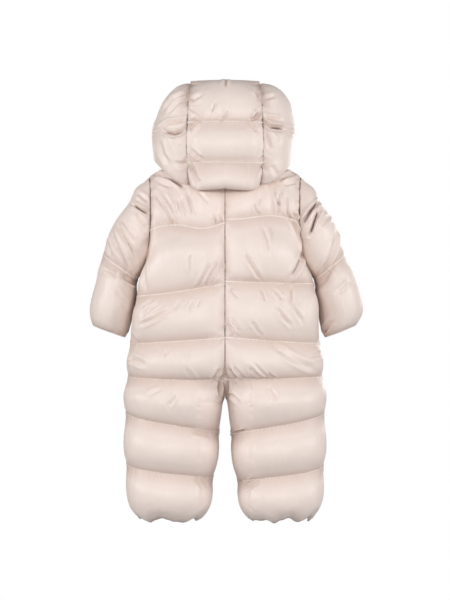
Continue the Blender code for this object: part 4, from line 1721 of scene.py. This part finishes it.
BACK_LEFT_FOLDS = folds((
    (2.4, 2.8, 117, -24, 94, -60, 82, -88), (2.0, 2.6, 100, -30, 84, -64), (1.6, 2.4, 78, -38, 66, -66),
    (1.8, 2.4, 70, -34, 58, -64), (2.2, 2.8, 61, -24, 52, -66), (1.4, 2.4, 43, -26, 28, -44),
    (1.4, 2.2, 20, -60, 14, -82), (1.4, 2.2, 12, -60, 5, -80), (1.8, 2.5, 4, -138, 28, -184),
    (2.4, 2.8, 13, -134, 38, -190), (2.2, 2.6, 24, -138, 46, -192), (1.4, 2.4, 36, -160, 54, -196),
    (1.2, 3.0, 57, -128, 56, -162), (2.6, 3.4, 134, -140, 132, -188), (1.8, 2.6, 110, -210, 136, -230),
    (1.4, 2.4, 120, -206, 138, -218), (2.4, 2.8, 90, -222, 118, -236, 142, -246), (1.4, 2.4, 72, -206, 82, -222),
    (1.4, 2.4, 50, -206, 60, -224), (1.2, 2.4, 40, -202, 46, -218), (2.0, 3.2, 160, -260, 148, -276),
    (1.2, 2.2, 92, -287, 100, -298), (2.6, 4.0, 162, -300, 130, -312), (1.2, 2.6, 64, -316, 50, -334),
    (1.4, 2.6, 106, -354, 128, -364), (1.6, 2.6, 80, -362, 94, -380), (2.6, 3.2, 8, -316, 22, -340),
    (2.4, 2.8, 4, -330, 14, -356), (1.8, 2.4, 52, -505, 36, -522), (1.6, 2.2, 44, -505, 30, -520),
    (1.6, 2.4, 60, -425, 24, -434), (5.0, 2.2, 9, -332, 11, -370), (4.0, 2.0, 3, -336, 4, -368),
    (4.5, 3.0, 124, 11, 92, 0, 66, -18), (2.2, 2.8, 112, -6, 90, -16),
))
BACK_RIGHT_FOLDS = folds((
    (5.5, 2.4, -112, -56, -123, -74, -130, -94), (3.0, 2.8, -104, -56, -116, -80, -124, -100),
    (2.4, 2.6, -126, -50, -120, -70), (4.0, 3.6, -134, -98, -132, -122, -118, -152, -106, -172),
    (1.6, 2.6, -57, -32, -53, -52), (1.6, 2.4, -46, -44, -56, -64), (1.6, 2.4, -82, -28, -92, -46),
    (2.0, 2.6, -92, -22, -89, -62), (1.8, 2.6, -101, -30, -106, -66), (1.6, 2.8, -60, -80, -68, -106, -70, -128),
    (1.4, 2.6, -70, -78, -78, -104), (2.4, 2.8, -34, -126, -46, -148, -60, -170),
    (2.2, 3.0, -110, -180, -108, -208, -128, -242), (2.2, 2.8, -82, -212, -94, -232, -108, -246),
    (1.8, 2.6, -80, -186, -94, -206), (1.6, 2.4, -58, -186, -66, -208), (1.4, 2.6, -44, -238, -60, -262),
    (1.8, 2.6, -8, -186, -24, -202), (1.8, 2.4, -4, -238, -18, -264), (1.2, 2.4, -14, -236, -26, -258),
    (2.2, 4.0, -152, -110, -154, -170), (2.4, 4.2, -78, -280, -110, -302, -152, -322),
    (1.7, 2.4, -40, -314, -66, -336), (1.2, 2.2, -50, -310, -72, -333), (1.3, 2.4, -70, -324, -88, -339),
    (3.0, 3.0, -6, -316, -26, -342), (1.8, 2.6, -14, -312, -38, -340), (2.4, 3.4, -142, -298, -164, -296),
    (1.6, 2.6, -74, -350, -88, -370), (2.2, 2.8, -8, -360, -24, -376), (3.2, 2.4, -13, -432, -34, -424),
    (4.5, 2.2, -4, -336, -6, -368), (4.0, 3.0, -90, -2, -126, 14), (2.2, 2.6, -100, -12, -118, -6),
    (1.8, 2.4, -28, -520, -52, -506), (1.6, 2.4, -34, -526, -60, -510),
))
FRONT_LEFT_FOLDS = folds((
    (2.2, 2.8, 112, -28, 92, -66), (1.8, 2.6, 98, -32, 82, -68), (1.6, 2.6, 74, -36, 64, -66),
    (2.2, 2.8, 28, -130, 46, -180), (1.8, 2.6, 38, -134, 56, -186), (3.0, 3.4, 134, -104, 112, -158),
    (2.0, 2.8, 72, -208, 104, -236), (1.8, 2.6, 92, -206, 126, -238), (1.6, 3.0, 146, -262, 118, -270),
    (2.6, 3.0, 14, -316, 36, -342), (1.8, 2.6, 26, -314, 52, -338), (2.0, 3.6, 150, -300, 116, -318),
    (1.6, 2.6, 78, -354, 94, -374), (1.8, 2.4, 30, -520, 54, -506),
), Facing.FRONT)
FRONT_RIGHT_FOLDS = folds((
    (2.2, 2.8, -114, -30, -96, -64), (1.8, 2.6, -88, -34, -78, -66), (1.4, 2.4, -60, -36, -52, -60),
    (2.2, 2.8, -32, -118, -52, -168), (1.6, 2.6, -66, -90, -78, -126), (3.0, 3.4, -136, -100, -114, -156),
    (2.0, 2.8, -84, -212, -108, -244), (1.6, 2.6, -100, -204, -122, -232), (1.4, 2.6, -44, -236, -58, -262),
    (2.6, 3.0, -14, -316, -34, -342), (1.8, 2.6, -46, -314, -70, -338), (2.0, 3.6, -84, -290, -146, -316),
    (1.6, 2.6, -72, -352, -86, -372), (1.8, 2.4, -32, -518, -56, -506),
), Facing.FRONT)
SLEEVE_LEFT_FOLDS = folds((
    (6.0, 2.3, 156, -42, 144, -51, 127, -62), (1.8, 2.8, 146, -24, 130, -40), (1.6, 3.0, 150, -54, 134, -84),
    (3.0, 3.0, 181, -72, 168, -98, 150, -134), (1.6, 2.8, 170, -68, 152, -104),
    (3.0, 3.2, 193, -82, 180, -112, 160, -158), (1.6, 3.0, 202, -98, 190, -132), (6.0, 3.6, 172, -164, 150, -178),
    (1.8, 3.2, 204, -150, 180, -164), (1.6, 3.2, 186, -186, 168, -214),
)) + folds((
    (3.0, 3.4, 160, -44, 130, -66), (2.6, 3.0, 182, -84, 156, -138), (2.0, 3.0, 194, -92, 170, -146),
    (2.8, 3.4, 176, -158, 150, -176),
), Facing.FRONT)
SLEEVE_RIGHT_FOLDS = folds((
    (6.5, 2.4, -160, -34, -143, -56, -130, -80), (6.0, 2.3, -158, -50, -149, -76, -143, -96),
    (2.0, 3.0, -176, -62, -158, -80), (2.8, 3.2, -188, -84, -180, -122, -160, -162),
    (2.4, 3.0, -198, -110, -186, -140, -164, -172), (3.0, 3.2, -180, -156, -160, -180),
    (1.6, 3.0, -206, -170, -188, -190), (2.4, 3.2, -184, -236, -166, -262),
)) + folds((
    (3.0, 3.4, -158, -46, -132, -70), (2.6, 3.2, -184, -90, -158, -138), (2.0, 3.0, -196, -100, -172, -148),
    (2.8, 3.4, -178, -158, -152, -178),
), Facing.FRONT)
HOOD_LEFT_FOLDS = folds((
    (5.0, 2.4, 104, 84, 98, 76, 84, 72, 70, 76, 61, 86), (3.0, 2.8, 112, 82, 92, 92, 61, 94),
    (2.0, 3.2, 122, 80, 104, 82), (2.0, 3.0, 104, 112, 86, 134, 62, 144), (1.6, 2.8, 94, 108, 78, 126, 62, 132),
    (1.8, 3.6, 110, 64, 104, 40, 92, 22), (1.4, 3.4, 86, 68, 82, 50), (1.8, 2.6, 84, 26, 62, 22),
    (1.6, 2.6, 78, -2, 62, -8),
))
HOOD_RIGHT_FOLDS = folds((
    (8.0, 2.6, -59, 92, -74, 84, -98, 81), (2.2, 3.4, -90, 82, -118, 80), (3.2, 2.8, -64, 99, -94, 96),
    (1.8, 3.2, -78, 80, -92, 60), (1.6, 3.2, -66, 76, -76, 46), (1.4, 3.0, -66, 132, -84, 138),
    (1.4, 3.0, -76, 24, -88, 10),
))
HOOD_CENTRE_FOLDS = folds((
    (1.6, 2.4, 22, 106, 15, 124), (1.6, 2.4, 4, 94, -6, 110), (7.0, 3.2, -43, 92, -50, 98, -57, 108),
    (1.8, 2.8, -40, 90, -54, 74), (6.0, 3.0, 42, 92, 50, 86, 58, 78), (1.8, 2.6, 36, 100, 48, 110, 57, 112),
    (2.6, 2.8, 57, 46, 40, 30), (1.8, 2.6, 57, 34, 44, 22), (2.6, 2.6, 56, 20, 42, 2), (2.4, 2.6, 57, 0, 42, -14),
    (1.6, 3.4, 57, 128, 38, 138), (2.6, 2.4, -2, 168, -1, 152), (1.8, 2.8, -50, 150, -56, 134),
))


@dataclass
class Suit:
    """The padded suit.

    Args:
        filling: how it is blown up.
        puckers: the gathers along its lines.
        valley: how its lines are lifted.
        panels: its nine panels.
    """
    filling: Filling = Filling()
    puckers: Puckers = Puckers()
    valley: Valley = Valley()
    panels: list = field(default_factory=lambda: [
        Panel("back_left", BACK_LEFT_FOLDS),
        Panel("back_right", BACK_RIGHT_FOLDS),
        Panel("front_left", FRONT_LEFT_FOLDS),
        Panel("front_right", FRONT_RIGHT_FOLDS),
        Panel("sleeve_left", SLEEVE_LEFT_FOLDS),
        Panel("sleeve_right", SLEEVE_RIGHT_FOLDS),
        Panel("hood_centre", HOOD_CENTRE_FOLDS, swell=0.6, **HOOD_LOOKS),
        Panel("hood_side_left", HOOD_LEFT_FOLDS, swell=0.45, smoothed_below=LOW_HOOD_LINE, **HOOD_LOOKS),
        Panel("hood_side_right", HOOD_RIGHT_FOLDS, swell=0.45, smoothed_below=LOW_HOOD_LINE, **HOOD_LOOKS),
    ])

    def build(self) -> list:
        """Draft, fill and finish every panel.

        Returns:
            The padded pieces.
        """
        cloth = SatinNylon().material()
        for panel in self.panels:
            panel.draft()
        self.filling.blow_up(self.panels)
        return [panel.finish(self.puckers, self.valley, cloth) for panel in self.panels]


def main() -> None:
    """Build the looks and the studio, and report each piece."""
    logging.basicConfig(level=logging.INFO, format="%(name)s: %(message)s")
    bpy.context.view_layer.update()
    pieces = Suit().build() + FrontZip().build()
    Studio().build()
    for item in pieces:
        LOG.info("%s: %d faces", item.name, len(item.data.polygons))


if __name__ == "__main__":
    main()
